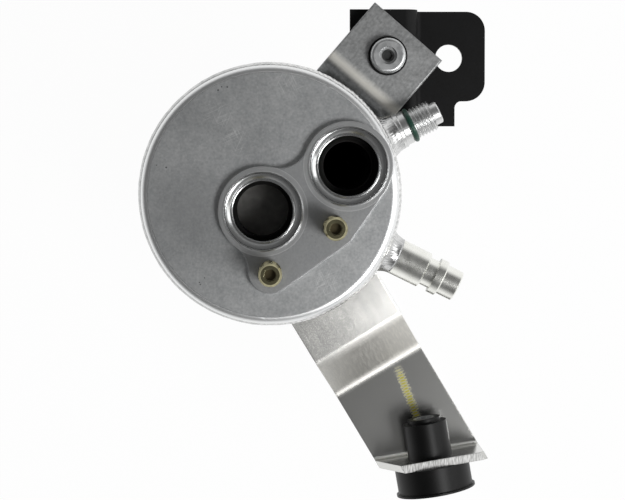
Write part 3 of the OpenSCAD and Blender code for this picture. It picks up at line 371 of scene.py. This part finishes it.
# %% The strap's yellow mark
mark_from, mark_to = Vector((48.3, -67.2, 118)) * mm, Vector((57.6, -90.6, 118)) * mm
mark_len, mark_way = (mark_to - mark_from).length / mm, (mark_to - mark_from).normalized()
mark_solid, mark_edge, mark_fuzz, stroke_len = 0.5, 2, 0.5, 1.1
arm = add(tree, "VectorMath", {0: place, 1: mark_from}, operation="SUBTRACT")
on = add(tree, "VectorMath", {0: arm, 1: mark_way}, operation="DOT_PRODUCT")
aside = add(tree, "VectorMath", {0: arm, 1: up.cross(mark_way)}, operation="DOT_PRODUCT")
aside = add(tree, "Math", {0: aside}, operation="ABSOLUTE")
fuzz = add(tree, "TexNoise", {"Vector": place, "Scale": per_metre(0.9), "Detail": 3})
fuzz = add(tree, "MapRange", {"Value": fuzz, "From Min": 0.3, "From Max": 0.7,
                              "To Min": -mark_fuzz * mm, "To Max": mark_fuzz * mm})
aside = add(tree, "Math", {0: aside, 1: fuzz}, operation="ADD")
wide = add(tree, "MapRange", {"Value": aside, "From Min": mark_solid * mm, "From Max": mark_edge * mm,
                              "To Min": 1, "To Max": 0})
long = stretch_of(tree, on, (-1, 4), (mark_len - 2, mark_len))
# The strokes are drawn coarser than the real ones, so that they show at this picture's size.
stroke = add(tree, "Math", {0: on, 1: tau / (stroke_len * mm)}, operation="MULTIPLY")
stroke = add(tree, "Math", {0: stroke}, operation="SINE")
stroke = add(tree, "MapRange", {"Value": stroke, "From Min": -1, "To Min": 0.35})
yellow_streak = all_of(tree, wide, long, stroke)
lay_over(tree, shader, yellow_streak, "#b9b016", 0.5)
print("mark of", round(mark_len, 1), "mm")

# %% [markdown]
# The lip's top edge was sheared, and never smoothed. It is bright, with steps across the sheet's
# thickness, and so torn that it scatters light as a matt surface does. The yellow streak is no bare
# metal either, so both take something off the metallic share.

# %% The strap's sheared edge
sheared = above(tree, place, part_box("lower_strap")[1].z - 0.3 * mm)
steps = drawn_noise(tree, place, (0.45, 2.5, 1000), 0, 2)
steps = add(tree, "MapRange", {"Value": steps, "From Min": 0.35, "From Max": 0.65})
steps = add(tree, "Mix", {0: steps, 6: linear("#b4b4b2"), 7: linear("#f4f4f2")}, data_type="RGBA")
lay_over(tree, shader, sheared, steps, 0.55)
metal = add(tree, "MapRange", {"Value": sheared, "To Min": 1, "To Max": 0.35})
metal = add(tree, "Math", {0: yellow_streak, 1: -0.6, 2: metal}, operation="MULTIPLY_ADD")
tree.links.new(metal.outputs[0], shader.inputs["Metallic"])

# %% [markdown]
# Turned pieces have fine rings round their own axis, which a noise along that axis draws. They differ
# in colour, roughness and direction: nickel is pale and warm, clear zinc a cool grey, turned brass
# yellow, and drawn spring steel dark.

# %% Turned and plated metals
def turned_metal(name, dark, light, roughness, axis=up, ring=0.35, depth=0.01):
    """A bright metal with rings of this width and depth, in millimetres, round an axis."""
    material, tree, shader, place = finish(name, Metallic=1)
    along = add(tree, "VectorMath", {0: place, 1: axis}, operation="DOT_PRODUCT")
    rings = add(tree, "TexNoise", {"W": along, "Scale": per_metre(ring)}, noise_dimensions="1D")
    wander = add(tree, "TexNoise", {"Vector": place, "Scale": per_metre(2.5), "Detail": 4})
    tone = add(tree, "Math", {0: rings, 1: wander}, operation="ADD")
    tinted(tree, shader, tone, 0.7, 1.3, dark, light)
    roughened(tree, shader, wander, roughness - 0.03, roughness + 0.05)
    embossed(tree, shader, rings, depth, 0.5, 0.15)
    return material, tree, shader, place


switch_finish = turned_metal("aluminium, bright turned", "#cfd0d0", "#ebebea", 0.34, switch_axis)[0]
service_finish = turned_metal("steel, nickel plated", "#eeeee8", "#fafaf5", 0.27, service_axis, 8, 0.002)[0]
plated_finish = turned_metal("steel, clear zinc plated", "#b6b8b9", "#d8d9d9", 0.36)[0]
brass_finish = turned_metal("brass, turned", "#a58145", "#c7a662", 0.3)[0]
spring_finish = turned_metal("spring steel, drawn", "#7c7e80", "#a0a2a3", 0.28)[0]
print("made", switch_finish.name, "and four more")

# %% [markdown]
# The studs are plated yellow, their end faces are set darker and rougher, and their sockets carry
# painted shade, a dark brown. The bolt's socket carries painted shade over plain plating in the same way.

# %% Plating with painted shade in the sockets
def shaded_socket(name, dark, light, roughness, socket_shade, radius, *middles):
    """Turned plating with painted shade inside this radius, in millimetres, of each upright axis."""
    material, tree, shader, place = turned_metal(name, dark, light, roughness)
    for middle in middles:
        deep = add(tree, "MapRange", {"Value": plan_reach(tree, place, middle), "To Min": 0.9, "To Max": 0,
                                      "From Min": (radius - 0.3) * mm, "From Max": (radius + 0.1) * mm})
        # Painted shade: the socket is laid over with a dark colour.
        lay_over(tree, shader, deep, socket_shade, 0.5)
    return material, tree, shader, place


stud_finish, tree, shader, place = shaded_socket(
    "steel, yellow zinc plated", "#7b7761", "#bbb594", 0.17, "#3a3120", 2.05,
    mounts["inlet_stud"]["pos_m"], mounts["outlet_stud"]["pos_m"])
# The studs' end faces are set darker and rougher.
face = above(tree, place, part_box("port_studs")[1].z - 0.05 * mm)
lay_over(tree, shader, all_of(tree, face, 0.75), "#6a664e", 0.34)
bolt_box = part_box("upper_bolt")
bolt_finish = shaded_socket("steel, clear zinc plated bolt", "#b6b8b9", "#dcdddd", 0.36, "#1d1d1c", 2.4,
                           (bolt_box[0] + bolt_box[1]) / 2)[0]
print("made", stud_finish.name, "and", bolt_finish.name)

# %% [markdown]
# Weld metal is bright and melted smooth, with a darker film in the valleys between the ripples. The
# beads below store how high each point stands, as an attribute named ripple, and the finish reads it.

# %% Weld aluminium
weld_finish, tree, shader, place = finish("aluminium, weld bead", Metallic=1)
ripple = add(tree, "Attribute", attribute_name="ripple")
soot = add(tree, "TexNoise", {"Vector": place, "Scale": per_metre(1.6), "Detail": 5})
tone = add(tree, "Math", {0: ripple.outputs["Fac"], 1: 0.45, 2: soot}, operation="MULTIPLY_ADD")
tinted(tree, shader, tone, 0.3, 0.95, "#b0b1b1", "#ececeb")
roughened(tree, shader, soot, 0.2, 0.34)
embossed(tree, shader, soot, 0.05, 0.4)
print("made", weld_finish.name)

# %% [markdown]
# The other finishes are not bare metal: the bracket's black dip coat, black and green moulded rubber,
# and inside the can nylon, its mesh and the felt bag. Each is a colour that wanders a little, over a
# fine bump of the right grain. The deflector is aluminium under an oil film.

# %% Coats, rubber, plastic and felt
def grained(name, dark, light, roughness, grain, depth, gloss=0.5):
    """A dull or glossy skin with a grain of this width and depth, in millimetres."""
    material, tree, shader, place = finish(name, Roughness=roughness, Specular_IOR_Level=gloss)
    fine = add(tree, "TexNoise", {"Vector": place, "Scale": per_metre(grain), "Detail": 3})
    wander = add(tree, "TexNoise", {"Vector": place, "Scale": per_metre(6), "Detail": 3})
    tone = add(tree, "Math", {0: fine, 1: wander}, operation="ADD")
    tinted(tree, shader, tone, 0.7, 1.3, dark, light)
    embossed(tree, shader, fine, depth, 0.6, 0.4)
    return material


coat_finish = grained("black dip coat on steel", "#090909", "#101011", 0.5, 0.8, 0.03, 0.2)
rubber_finish = grained("rubber, moulded black", "#090909", "#101010", 0.42, 0.6, 0.02, 0.25)
seal_finish = grained("nitrile rubber, moulded green", "#16392e", "#245442", 0.34, 0.4, 0.02)
oil_finish = grained("aluminium under dark oil", "#7b7a77", "#9b9995", 0.4, 2.5, 0.02)
nylon_finish = grained("nylon, moulded", "#d6d1c2", "#e2ded2", 0.4, 1.2, 0.02)
mesh_finish = grained("nylon, woven mesh", "#a5a294", "#d8d5c8", 0.6, 0.25, 0.15)
felt_finish = grained("polyester felt", "#cdc8b8", "#e6e2d6", 0.9, 0.35, 0.25)
print("made", coat_finish.name, "and six more")

# %% [markdown]
# Most CAD nodes already have the right shape, so they stay and only their material slots are filled.
# The welds, the studs and the switch fitting aren't in this list: new pieces stand for them below.

# %% Finishes on the CAD nodes
finishes = {
    cap_finish: ["canister_cap"],
    can_finish: ["canister_shell"],
    tab_finish: ["upper_tab"],
    strap_finish: ["lower_strap"],
    service_finish: ["service_port"],
    plated_finish: ["upper_sleeve", "upper_nut", "isolator_sleeve"],
    bolt_finish: ["upper_bolt"],
    brass_finish: ["switch_valve_core", "service_valve_core"],
    spring_finish: ["switch_valve_pin", "service_valve_pin", "switch_valve_spring", "service_valve_spring"],
    tube_finish: ["outlet_u_tube"],
    oil_finish: ["inlet_deflector"],
    coat_finish: ["mounting_bracket"],
    rubber_finish: ["upper_bush", "rubber_isolator"],
    seal_finish: ["switch_o_ring"],
    nylon_finish: ["oil_filter_cup", "bag_tie"],
    mesh_finish: ["oil_filter_screen"],
    felt_finish: ["desiccant_bag"],
}
for material, names in finishes.items():
    for name in names:
        nodes[name].data.materials.clear()
        nodes[name].data.materials.append(material)
print("finished", sum(len(names) for names in finishes.values()), "CAD nodes")

# %% [markdown]
# The welds come next. A weld bead is a row of frozen pools, each a crescent over the one before. It
# could be modelled pool by pool, but every bead here follows one rule. It starts as a smooth skin laid
# along its seam, whose points know how far along the seam they lie and how far aside of its crest. A
# Geometry Nodes tree then raises the pools by those two numbers: a hump for each pitch of travel, bent
# back towards the bead's edges and fading out there.

# %% Opening and closing a tree
def geometry_tree(name, **sockets):
    """A Geometry Nodes tree with these inputs, its input sockets, and their identifiers by name."""
    tree = bpy.data.node_groups.new(name, "GeometryNodeTree")
    tree.interface.new_socket("Geometry", in_out="OUTPUT", socket_type="NodeSocketGeometry")
    tree.interface.new_socket("Geometry", in_out="INPUT", socket_type="NodeSocketGeometry")
    keys = {}
    for label, kind in sockets.items():
        socket = tree.interface.new_socket(label, in_out="INPUT", socket_type="NodeSocket" + kind)
        keys[label] = socket.identifier
    return tree, add(tree, "NodeGroupInput").outputs, keys


def close_tree(tree, shape, material):
    """Ends a tree: instances made real, the material set, and the result put out."""
    real = add(tree, "GeometryNodeRealizeInstances", {"Geometry": shape})
    done = add(tree, "GeometryNodeSetMaterial", {"Geometry": real, "Material": material})
    add(tree, "NodeGroupOutput", {"Geometry": done})


print("tree helpers ready")

# %% The weld ripple tree
ripple_tree, given, ripple_inputs = geometry_tree(
    "weld ripples", Pitch="Float", Ripple="Float", Curl="Float", Wobble="Float", Calm="Vector",
    Finish="Material")
tree = ripple_tree
place = add(tree, "GeometryNodeInputPosition")
travel = add(tree, "GeometryNodeInputNamedAttribute", {"Name": "travel"}, data_type="FLOAT").outputs[0]
aside = add(tree, "GeometryNodeInputNamedAttribute", {"Name": "aside"}, data_type="FLOAT").outputs[0]
square = add(tree, "Math", {0: aside, 1: aside}, operation="MULTIPLY")
count = add(tree, "Math", {0: travel, 1: given["Pitch"]}, operation="DIVIDE")
count = add(tree, "Math", {0: square, 1: given["Curl"], 2: count}, operation="MULTIPLY_ADD")
pool = add(tree, "Math", {0: count}, operation="FRACT")
rest = add(tree, "Math", {0: 1.0, 1: pool}, operation="SUBTRACT")
margin = add(tree, "MapRange", {"Value": square, "From Min": 0.1, "From Max": 0.9, "To Min": 4, "To Max": 0})
side = add(tree, "VectorMath", {0: place, 1: given["Calm"]}, operation="DOT_PRODUCT")
fade = add(tree, "MapRange", {"Value": side, "From Min": -0.4, "From Max": 0.4, "To Min": 1, "To Max": 0.06})
raised = all_of(tree, pool, rest, margin, fade)
stored = add(tree, "GeometryNodeStoreNamedAttribute", {"Geometry": given["Geometry"], "Name": "ripple",
                                                       "Value": raised}, domain="POINT")
noise = add(tree, "TexNoise", {"Vector": place, "Scale": per_metre(4)})
sway = add(tree, "MapRange", {"Value": noise, "From Min": 0.25, "From Max": 0.75, "To Min": -1, "To Max": 0})
sway = add(tree, "Math", {0: sway, 1: given["Wobble"]}, operation="MULTIPLY")
lift = add(tree, "Math", {0: raised, 1: given["Ripple"], 2: sway}, operation="MULTIPLY_ADD")
out = add(tree, "GeometryNodeInputNormal")
move = add(tree, "VectorMath", {0: out, "Scale": lift}, operation="SCALE")
shaped = add(tree, "GeometryNodeSetPosition", {"Geometry": stored, "Offset": move})
close_tree(tree, add(tree, "GeometryNodeSetShadeSmooth", {"Geometry": shaped}), given["Finish"])
print("ripple tree with", len(ripple_tree.nodes), "nodes")

# %% [markdown]
# A bead's skin is sewn from rings of points, one after the other along the seam. Its normals are
# recalculated, so that they point outwards whichever way round the rings were laid.

# %% Sewing rings into a skin
def in_scene(name, data):
    """A new object of this data, linked to the scene."""
    one = bpy.data.objects.new(name, data)
    bpy.context.scene.collection.objects.link(one)
    return one


def sewn(name, chains, closed):
    """A host object over chains of rings. A ring is (travel, [(point, aside), ...]) in millimetres."""
    points, travel, aside, faces = [], [], [], []
    for chain in chains:
        first, size = len(points), len(chain[0][1])
        for distance, ring in chain:
            points += [point * mm for point, _ in ring]
            aside += [part for _, part in ring]
            travel += [distance * mm] * size
        last = len(chain) if closed else len(chain) - 1
        for row in range(last):
            a, b = first + row * size, first + (row + 1) % len(chain) * size
            faces += [(a + i, a + (i + 1) % size, b + (i + 1) % size, b + i) for i in range(size)]
        if not closed:
            faces.append(tuple(range(first, first + size))[::-1])
            faces.append(tuple(range(len(points) - size, len(points))))
    mesh = bpy.data.meshes.new(name)
    mesh.from_pydata(points, [], faces)
    skin = bmesh.new()
    skin.from_mesh(mesh)
    bmesh.ops.recalc_face_normals(skin, faces=skin.faces)
    skin.to_mesh(mesh)
    skin.free()
    for label, values in (("travel", travel), ("aside", aside)):
        mesh.attributes.new(label, "FLOAT", "POINT").data.foreach_set("value", values)
    return in_scene(name, mesh)


def at_angle(angle, radius, z):
    """A point or direction at this angle and radius round the can's axis."""
    return Vector((radius * cos(angle), radius * sin(angle), z))


def round_ring(middle, out, side, radius):
    """Twenty points of a round section. Aside is 0 at the crest that faces out, and 1.6 behind it."""
    angles = [pi * (i / 10 - 1) for i in range(20)]
    return [(middle + (out * cos(a) + side * sin(a)) * radius, a / pi * 1.6) for a in angles]


print("skins are sewn from rings of twenty points")

# %% [markdown]
# The export drops live modifiers and instances, so a tree is put on a host object and evaluated, and
# only a plain mesh is kept. That mesh then becomes a piece of the frame, in place of its plain CAD node.

# %% Evaluating and placing
def evaluated(host, tree, keys, **values):
    """The plain mesh that a tree makes of a host object with these inputs. The host is removed."""
    modifier = host.modifiers.new("shape", "NODES")
    modifier.node_group = tree
    for label, value in values.items():
        modifier[keys[label]] = value
    graph = bpy.context.evaluated_depsgraph_get()
    mesh = bpy.data.meshes.new_from_object(host.evaluated_get(graph))
    host.modifiers.remove(modifier)
    bpy.data.objects.remove(host)
    return mesh


def place_piece(name, mesh, slot, *replaced):
    """Makes a mesh a piece that rides on the accumulator, in place of these CAD nodes."""
    piece = in_scene(name, mesh)
    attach(piece, "accumulator")
    if replaced:
        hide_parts(*replaced)
    return piece


def weld_bead(name, chains, closed, node, pitch, ripple, curl, wobble, calm=(0, 0, 0)):
    """A rippled bead over these chains of rings, in place of a CAD node. Sizes in millimetres."""
    mesh = evaluated(sewn(name + "_seam", chains, closed), ripple_tree, ripple_inputs, Pitch=pitch * mm,
                     Ripple=ripple * mm, Curl=curl, Wobble=wobble * mm, Calm=calm, Finish=weld_finish)
    piece = place_piece(name, mesh, "weld_aluminium", node)
    print(name, len(piece.data.polygons), "faces, pitch", round(pitch, 2), "mm")


print("weld helpers ready")

# %% [markdown]
# The girth weld joins the cap to the can all the way round. In the photograph its ripples show on the
# right as fine slanted lines, and melt away on the left, so the tree calms them towards -X.

# %% The girth weld
girth_r, girth_proud, girth_pool = 2.4, 1.4, 1.9
girth_len = tau * (can_r + girth_proud)
pools = round(girth_len / girth_pool)
count = pools * 7
rings = []
for i in range(count):
    angle = tau * i / count
    middle = at_angle(angle, can_r + girth_proud - girth_r, seam_z)
    rings.append((girth_len * i / count, round_ring(middle, at_angle(angle, 1, 0), up, girth_r)))
weld_bead("girth_weld_bead", [rings], True, "girth_weld", girth_len / pools, 0.1, 2.2, 0.18,
          (-1 / (can_r * mm), 0, 0))

# %% [markdown]
# Each side fitting is welded round its foot. That seam is a saddle: it rises and falls with the can's
# curved wall. The weld's face is hollow, so its section is a quarter of an ellipse between the fitting
# and the wall, closed behind by three points inside the metal.

# %% The fittings' welds
def saddle(axis, radius, leg, foot, pool):
    """Rings of a hollow weld round a fitting, and the pools' pitch."""
    level = Vector((-axis.y, axis.x, 0))
    length = tau * (radius + foot / 3)
    pools = round(length / pool)
    count, sunk, inset = pools * 6, 0.8, 0.4
    rings = []
    for i in range(count):
        a = tau * i / count
        out = level * cos(a) + up * sin(a)
        section = []
        for k in range(15):
            t = pi / 2 * k / 14
            r = radius + 0.15 + foot * (1 - cos(t))
            section.append((r, 0.05 + leg * (1 - sin(t)), k / 7 - 1))
        section += [(radius + foot, -sunk, 1), (radius - inset, -sunk, 1), (radius - inset, leg, -1)]
        ring = []
        for r, rise, part in section:
            wall = sqrt(can_r ** 2 - (r * cos(a)) ** 2)
            ring.append((axis * (wall + rise) + out * r + up * fitting_z, part))
        rings.append((length * i / count, ring))
    return rings, length / pools


body_r, weld_leg, weld_foot, weld_pool = 6.5, 6.2, 5.6, 1.2
for name, axis, node in (("switch_weld_bead", switch_axis, "switch_fitting_weld"),
                         ("service_weld_bead", service_axis, "service_port_weld")):
    rings, pitch = saddle(axis, body_r, weld_leg, weld_foot, weld_pool)
    weld_bead(name, [rings], True, node, pitch, 0.15, 1.3, 0.25)

# %% [markdown]
# The tab's leg and the strap's leg are each held by two upright beads with rounded ends. Their places
# are found from the CAD node's own points, on either side of its middle.

# %% The tab's and the strap's welds
def upright_beads(node, radius, pool):
    """Two chains of rings along the two sides of a leg, as high as the CAD node."""
    low, high = (corner.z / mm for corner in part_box(node))
    points = [v.co / mm for v in nodes[node].data.vertices]
    centre = sum(points, Vector()) / len(points)
    across = Vector((-centre.y, centre.x, 0)).normalized()
    chains = []
    for side in (-1, 1):
        own = [p for p in points if (p - centre).dot(across) * side > 0]
        middle = sum(own, Vector()) / len(own)
        out = Vector((middle.x, middle.y, 0)).normalized()
        count = round((high - low) / pool) * 7
        chain = []
        for i in range(count + 1):
            travel = (high - low) * i / count
            near = min(1, (min(travel, high - low - travel) + 0.15) / radius)
            width = radius * sqrt(1 - (1 - near) ** 2)
            chain.append((travel, round_ring(out * (can_r - radius / 4) + up * (low + travel), out,
                                             out.cross(up), width)))
        chains.append(chain)
    return chains


leg_pool = 1.5
for name, node, radius in (("tab_weld_beads", "upper_tab_welds", 2.4),
                           ("strap_weld_beads", "lower_strap_welds", 2.2)):
    weld_bead(name, upright_beads(node, radius, leg_pool), False, node, leg_pool, 0.16, 1.3, 0.2)

# %% [markdown]
# Threads are cut on a lathe, so the same is done here: a blank is turned from a list of radii and
# heights, and a Geometry Nodes tree pushes its skin inwards along a helix, between two heights. A
# boolean with a swept tooth would also do, but is slow and leaves slivers.

# %% The thread tree
cut_tree, given, cut_inputs = geometry_tree(
    "cut thread", Foot="Vector", Axis="Vector", Across="Vector", Major="Float", Pitch="Float",
    Depth="Float", From="Float", To="Float", Finish="Material")
tree = cut_tree
place = add(tree, "GeometryNodeInputPosition")
arm = add(tree, "VectorMath", {0: place, 1: given["Foot"]}, operation="SUBTRACT")
height = add(tree, "VectorMath", {0: arm, 1: given["Axis"]}, operation="DOT_PRODUCT")
core = add(tree, "VectorMath", {0: given["Axis"], "Scale": height}, operation="SCALE")
arm = add(tree, "VectorMath", {0: arm, 1: core}, operation="SUBTRACT")
radius = add(tree, "VectorMath", {0: arm}, operation="LENGTH")
out = add(tree, "VectorMath", {0: arm}, operation="NORMALIZE")
other = add(tree, "VectorMath", {0: given["Axis"], 1: given["Across"]}, operation="CROSS_PRODUCT")
east = add(tree, "VectorMath", {0: out, 1: given["Across"]}, operation="DOT_PRODUCT")
north = add(tree, "VectorMath", {0: out, 1: other}, operation="DOT_PRODUCT")
angle = add(tree, "Math", {0: north, 1: east}, operation="ARCTAN2")
angle = add(tree, "Math", {0: angle, 1: tau}, operation="DIVIDE")
turns = add(tree, "Math", {0: height, 1: given["Pitch"]}, operation="DIVIDE")
phase = add(tree, "Math", {0: turns, 1: angle}, operation="SUBTRACT")
groove = add(tree, "Math", {0: phase, 1: 0.5}, operation="PINGPONG")
groove = add(tree, "MapRange", {"Value": groove, "From Min": 0.06, "From Max": 0.44})
start = add(tree, "Math", {0: height, 1: given["From"]}, operation="GREATER_THAN")
stop = add(tree, "Math", {0: height, 1: given["To"]}, operation="LESS_THAN")
skin = add(tree, "Math", {0: given["Major"], 1: 0.97}, operation="MULTIPLY")
skin = add(tree, "Math", {0: radius, 1: skin}, operation="GREATER_THAN")
within = all_of(tree, start, stop, skin)
move = add(tree, "VectorMath", {0: out, "Scale": all_of(tree, groove, given["Depth"], -1.0)},
           operation="SCALE")
cut = add(tree, "GeometryNodeSetPosition", {"Geometry": given["Geometry"], "Selection": within,
                                            "Offset": move})
close_tree(tree, cut, given["Finish"])
print("thread tree with", len(cut_tree.nodes), "nodes")

# %% [markdown]
# A blank is sewn from rings too, each a circle of one radius at one height, or a hexagon where the
# radius changes with the angle. It has eight rows to a turn of the thread, just enough for the flanks
# to read as straight.

# %% Turned blanks and threaded pieces
def turned_blank(name, rows, foot, axis, sides=48, closed=False):
    """A host turned about an axis from (radius, height) rows. A radius may be a function of the angle."""
    across = axis.orthogonal().normalized()
    other = axis.cross(across)
    rings = []
    for radius, height in rows:
        ring = []
        for i in range(sides):
            a = tau * i / sides
            r = radius(a) if callable(radius) else radius
            ring.append((foot + axis * height + (across * cos(a) + other * sin(a)) * r, 0))
        rings.append((height, ring))
    return sewn(name, [rings], closed), across


def threaded(name, rows, foot, axis, major, pitch, start, stop, material, closed=False):
    """The mesh of a blank with a thread cut between two heights."""
    host, across = turned_blank(name, rows, foot, axis, closed=closed)
    return evaluated(host, cut_tree, cut_inputs, Foot=foot * mm, Axis=axis, Across=across,
                     Major=major * mm, Pitch=pitch * mm, Depth=0.55 * pitch * mm,
                     From=start * mm, To=stop * mm, Finish=material)


def stations(start, stop, pitch, radius):
    """Rows of one radius along a thread, eight to each turn."""
    count = round((stop - start) / pitch * 8)
    return [(radius, start + (stop - start) * i / count) for i in range(count + 1)]


coarse_pitch = 1.25
print("threads of", coarse_pitch, "mm pitch")

# %% [markdown]
# The studs are plated steel, with a coarse thread, a chamfered end and a hexagon socket by which they
# are screwed in. Their set ends go down into the cap's holes.

# %% The studs
stud_r = mounts["inlet_stud"]["dims"]["r_mm"]
stud_len = mounts["inlet_stud"]["dims"]["length_mm"]
set_r, set_depth, relief, chamfer = 3.6, 8, 0.6, 0.8
socket_half, socket_depth = 2, 3


def socket(angle):
    """Radius of the hexagon socket at an angle."""
    return socket_half / cos((angle + pi / 6) % (pi / 3) - pi / 6)


top = relief + stud_len + chamfer
stud_rows = [
    (set_r, -set_depth), (set_r, relief), *stations(relief, relief + stud_len, coarse_pitch, stud_r),
    (stud_r - chamfer, top), (socket, top), (socket, top - socket_depth),
]
for mount in ("inlet_stud", "outlet_stud"):
    foot = Vector(mounts[mount]["pos_m"]) / mm - up * (stud_len / 2 + relief)
    mesh = threaded(mount, stud_rows, foot, up, stud_r, coarse_pitch, relief, relief + stud_len, stud_finish)
    piece = place_piece(mount + "_threaded", mesh, "zinc_steel", "port_studs")
print("studs:", len(piece.data.polygons), "faces each")

# %% [markdown]
# The switch fitting is turned from bright aluminium: a plain body, a collar, the seat of the green
# seal, the thread of the pressure switch and a narrow tip with the valve's bore. Its rows go out along
# the outside and back through the bore, so the skin closes on itself.

# %% The switch fitting
axis_foot = Vector((0, 0, fitting_z))
thread_mid = Vector(mounts["switch_thread"]["pos_m"]).xy.length / mm
thread_r = mounts["switch_thread"]["dims"]["r_mm"]
thread_len = mounts["switch_thread"]["dims"]["length_mm"]
thread_from, thread_to = thread_mid - thread_len / 2, thread_mid + thread_len / 2
collar_r, seat_r, tip_r, bore_r, way_r = 6, 4.65, 4, 2.63, 1.9
collar_end, body_end, tip_end = thread_from - 1.72, thread_from - 4.22, thread_to + 3.2
root, bore_end, break_edge = can_r - 0.8, 51.42, 0.4
fitting_rows = [
    (body_r, root), (body_r, body_end - break_edge), (body_r - break_edge, body_end),
    (collar_r, body_end), (collar_r, collar_end - break_edge), (collar_r - break_edge, collar_end),
    (seat_r, collar_end), (seat_r, thread_from),
    *stations(thread_from, thread_to, coarse_pitch, thread_r),
    (thread_r - break_edge, thread_to + break_edge), (tip_r, thread_to + break_edge),
    (tip_r, tip_end - break_edge), (tip_r - break_edge, tip_end),
    (bore_r, tip_end), (bore_r, bore_end), (way_r, bore_end), (way_r, root),
]
mesh = threaded("switch_turned", fitting_rows, axis_foot, switch_axis, thread_r, coarse_pitch,
                thread_from, thread_to, switch_finish, closed=True)
switch = place_piece("switch_fitting_threaded", mesh, "turned_aluminium", "switch_fitting")
print("switch fitting:", len(switch.data.polygons), "faces to", round(tip_end, 2), "mm")

# %% [markdown]
# The ports' mouths open in a shallow bevel, less steep than the solid's, with a narrow lip at its foot.
# A turned ring lies in each, so that the bevel catches the low lamp at its left, as in the photograph.

# %% The ports' mouths
mouth_drop, mouth_wall, lip_rise, lip_from, lip_top, clear = 1.75, 0.9, 0.35, 0.85, 0.4, 0.06
mouth_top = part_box("canister_cap")[1].z / mm
mouth_rows = [
    (port_r + clear, -mouth_drop - mouth_wall), (mouth_r, 0.02), (port_r + lip_from, -mouth_drop + 0.1),
    (port_r + lip_top, -mouth_drop + lip_rise), (port_r + clear, -mouth_drop + lip_rise - 0.1),
]
for mount in ("inlet_port", "outlet_port"):
    x, y, _ = mounts[mount]["pos_m"]
    host, _ = turned_blank(mount + "_mouth", mouth_rows, Vector((x / mm, y / mm, mouth_top)), up, 128, True)
    mesh = host.data
    bpy.data.objects.remove(host)
    mesh.shade_smooth()
    mesh.set_sharp_from_angle(angle=radians(20))
    mesh.materials.append(cap_finish)
    place_piece(mount + "_mouth_ring", mesh, "cap_aluminium")
print("mouth rings below", round(mouth_top, 2), "mm, dropping", mouth_drop, "mm")

# %% [markdown]
# The stage is a plain pale floor that keeps the part's shadow. Where the camera or a reflection looks
# straight at it, most of what it shows is a plain white, so the background stays white without more
# light on the part.

# %% Floor
floor_finish, tree, shader, _ = finish("floor, pale paper", Roughness=0.9, Base_Color=linear("#ffffff"))
seen = add(tree, "LightPath").outputs
direct = add(tree, "Math", {0: seen["Is Camera Ray"], 1: seen["Is Glossy Ray"]}, operation="MAXIMUM")
direct = add(tree, "Math", {0: direct, 1: seen["Is Transmission Ray"]}, operation="MAXIMUM")
white = add(tree, "Emission")
both = add(tree, "MixShader", {0: all_of(tree, direct, 0.97), 1: shader, 2: white})
tree.links.new(both.outputs[0], tree.nodes["Material Output"].inputs["Surface"])
floor_half, floor_drop = 4, 0.0005
corners = [(x * floor_half, y * floor_half, -floor_drop) for x, y in ((-1, -1), (1, -1), (1, 1), (-1, 1))]
floor_mesh = bpy.data.meshes.new("floor")
floor_mesh.from_pydata(corners, [], [(0, 1, 2, 3)])
floor_mesh.materials.append(floor_finish)
floor = in_scene("floor", floor_mesh)
print("floor", 2 * floor_half, "m wide")

# %% [markdown]
# The sky is soft: dim overhead, pale at the horizon, a little dimmer on the left, and it glows round
# the key. The key is a large round lamp, 35 degrees from overhead, at the lower right: the studs'
# shadows show its place. A weaker one stands low on the right, and shines in the left of both bevels.

# %% Sky and lamps
world = bpy.data.worlds.new("studio")
bpy.context.scene.world = world
world.use_nodes = True
sky = world.node_tree
key_way, strip_way = Vector((0.486, -0.304, 0.819)), Vector((0.9, 0.03, 0.44))
lamp_aim = Vector((0.01, -0.01, 0.19))
direction = add(sky, "TexCoord").outputs["Generated"]
parts = add(sky, "SeparateXYZ", {0: direction}).outputs
level = add(sky, "MapRange", {"Value": parts["Z"], "From Min": 0.12, "From Max": 0.54,
                              "To Min": 0.95, "To Max": 0.15})
left = add(sky, "MapRange", {"Value": parts["X"], "From Min": -0.7, "From Max": 0.2, "To Min": 0.68})
glow = add(sky, "VectorMath", {0: direction, 1: key_way}, operation="DOT_PRODUCT")
glow = add(sky, "MapRange", {"Value": glow, "From Min": 0.93, "To Max": 1.2})
level = add(sky, "Math", {0: all_of(sky, level, left), 1: glow}, operation="ADD")
sky.links.new(level.outputs[0], sky.nodes["Background"].inputs["Strength"])
sky.nodes["Background"].inputs["Color"].default_value = linear("#ffffff")


def lamp(name, way, shape, width, height, energy):
    """An area lamp that looks at the cap from this way off."""
    data = bpy.data.lights.new(name, "AREA")
    data.shape, data.size, data.size_y, data.energy = shape, width, height, energy
    one = in_scene(name, data)
    one.location = lamp_aim + way
    one.rotation_euler = (-way).to_track_quat("-Z", "Y").to_euler()


lamp("key", key_way, "DISK", 0.4, 0.4, 4.3)
lamp("strip", strip_way, "RECTANGLE", 0.5, 0.36, 1.2)
print("stage ready, key", round(key_way.length, 2), "m away")

# %% [markdown]
# The camera stands high above the can. The photograph's lines show where: the can's wall vanishes
# towards a point left of and above the middle, so the lens is over the upper half of the cap and is
# turned a few degrees towards the strap.

# %% Camera
camera_data = bpy.data.cameras.new("camera")
camera_data.lens = 117
camera = in_scene("camera", camera_data)
camera.location = (-0.0013, 0.0179, 0.886)
look_at, picture_up = Vector((0.0145, -0.0189, 0.190)), Vector((0.0012, 1, 0))
look = look_at - camera.location
back = -look.normalized()
right = picture_up.cross(back).normalized()
camera.rotation_euler = Matrix((right, back.cross(right), back)).transposed().to_euler()
bpy.context.scene.camera = camera
bpy.context.scene.view_settings.view_transform = "Standard"
print("camera", round(look.length, 3), "m from the cap")

# %% [markdown] Dressing the part mustn't change its size.
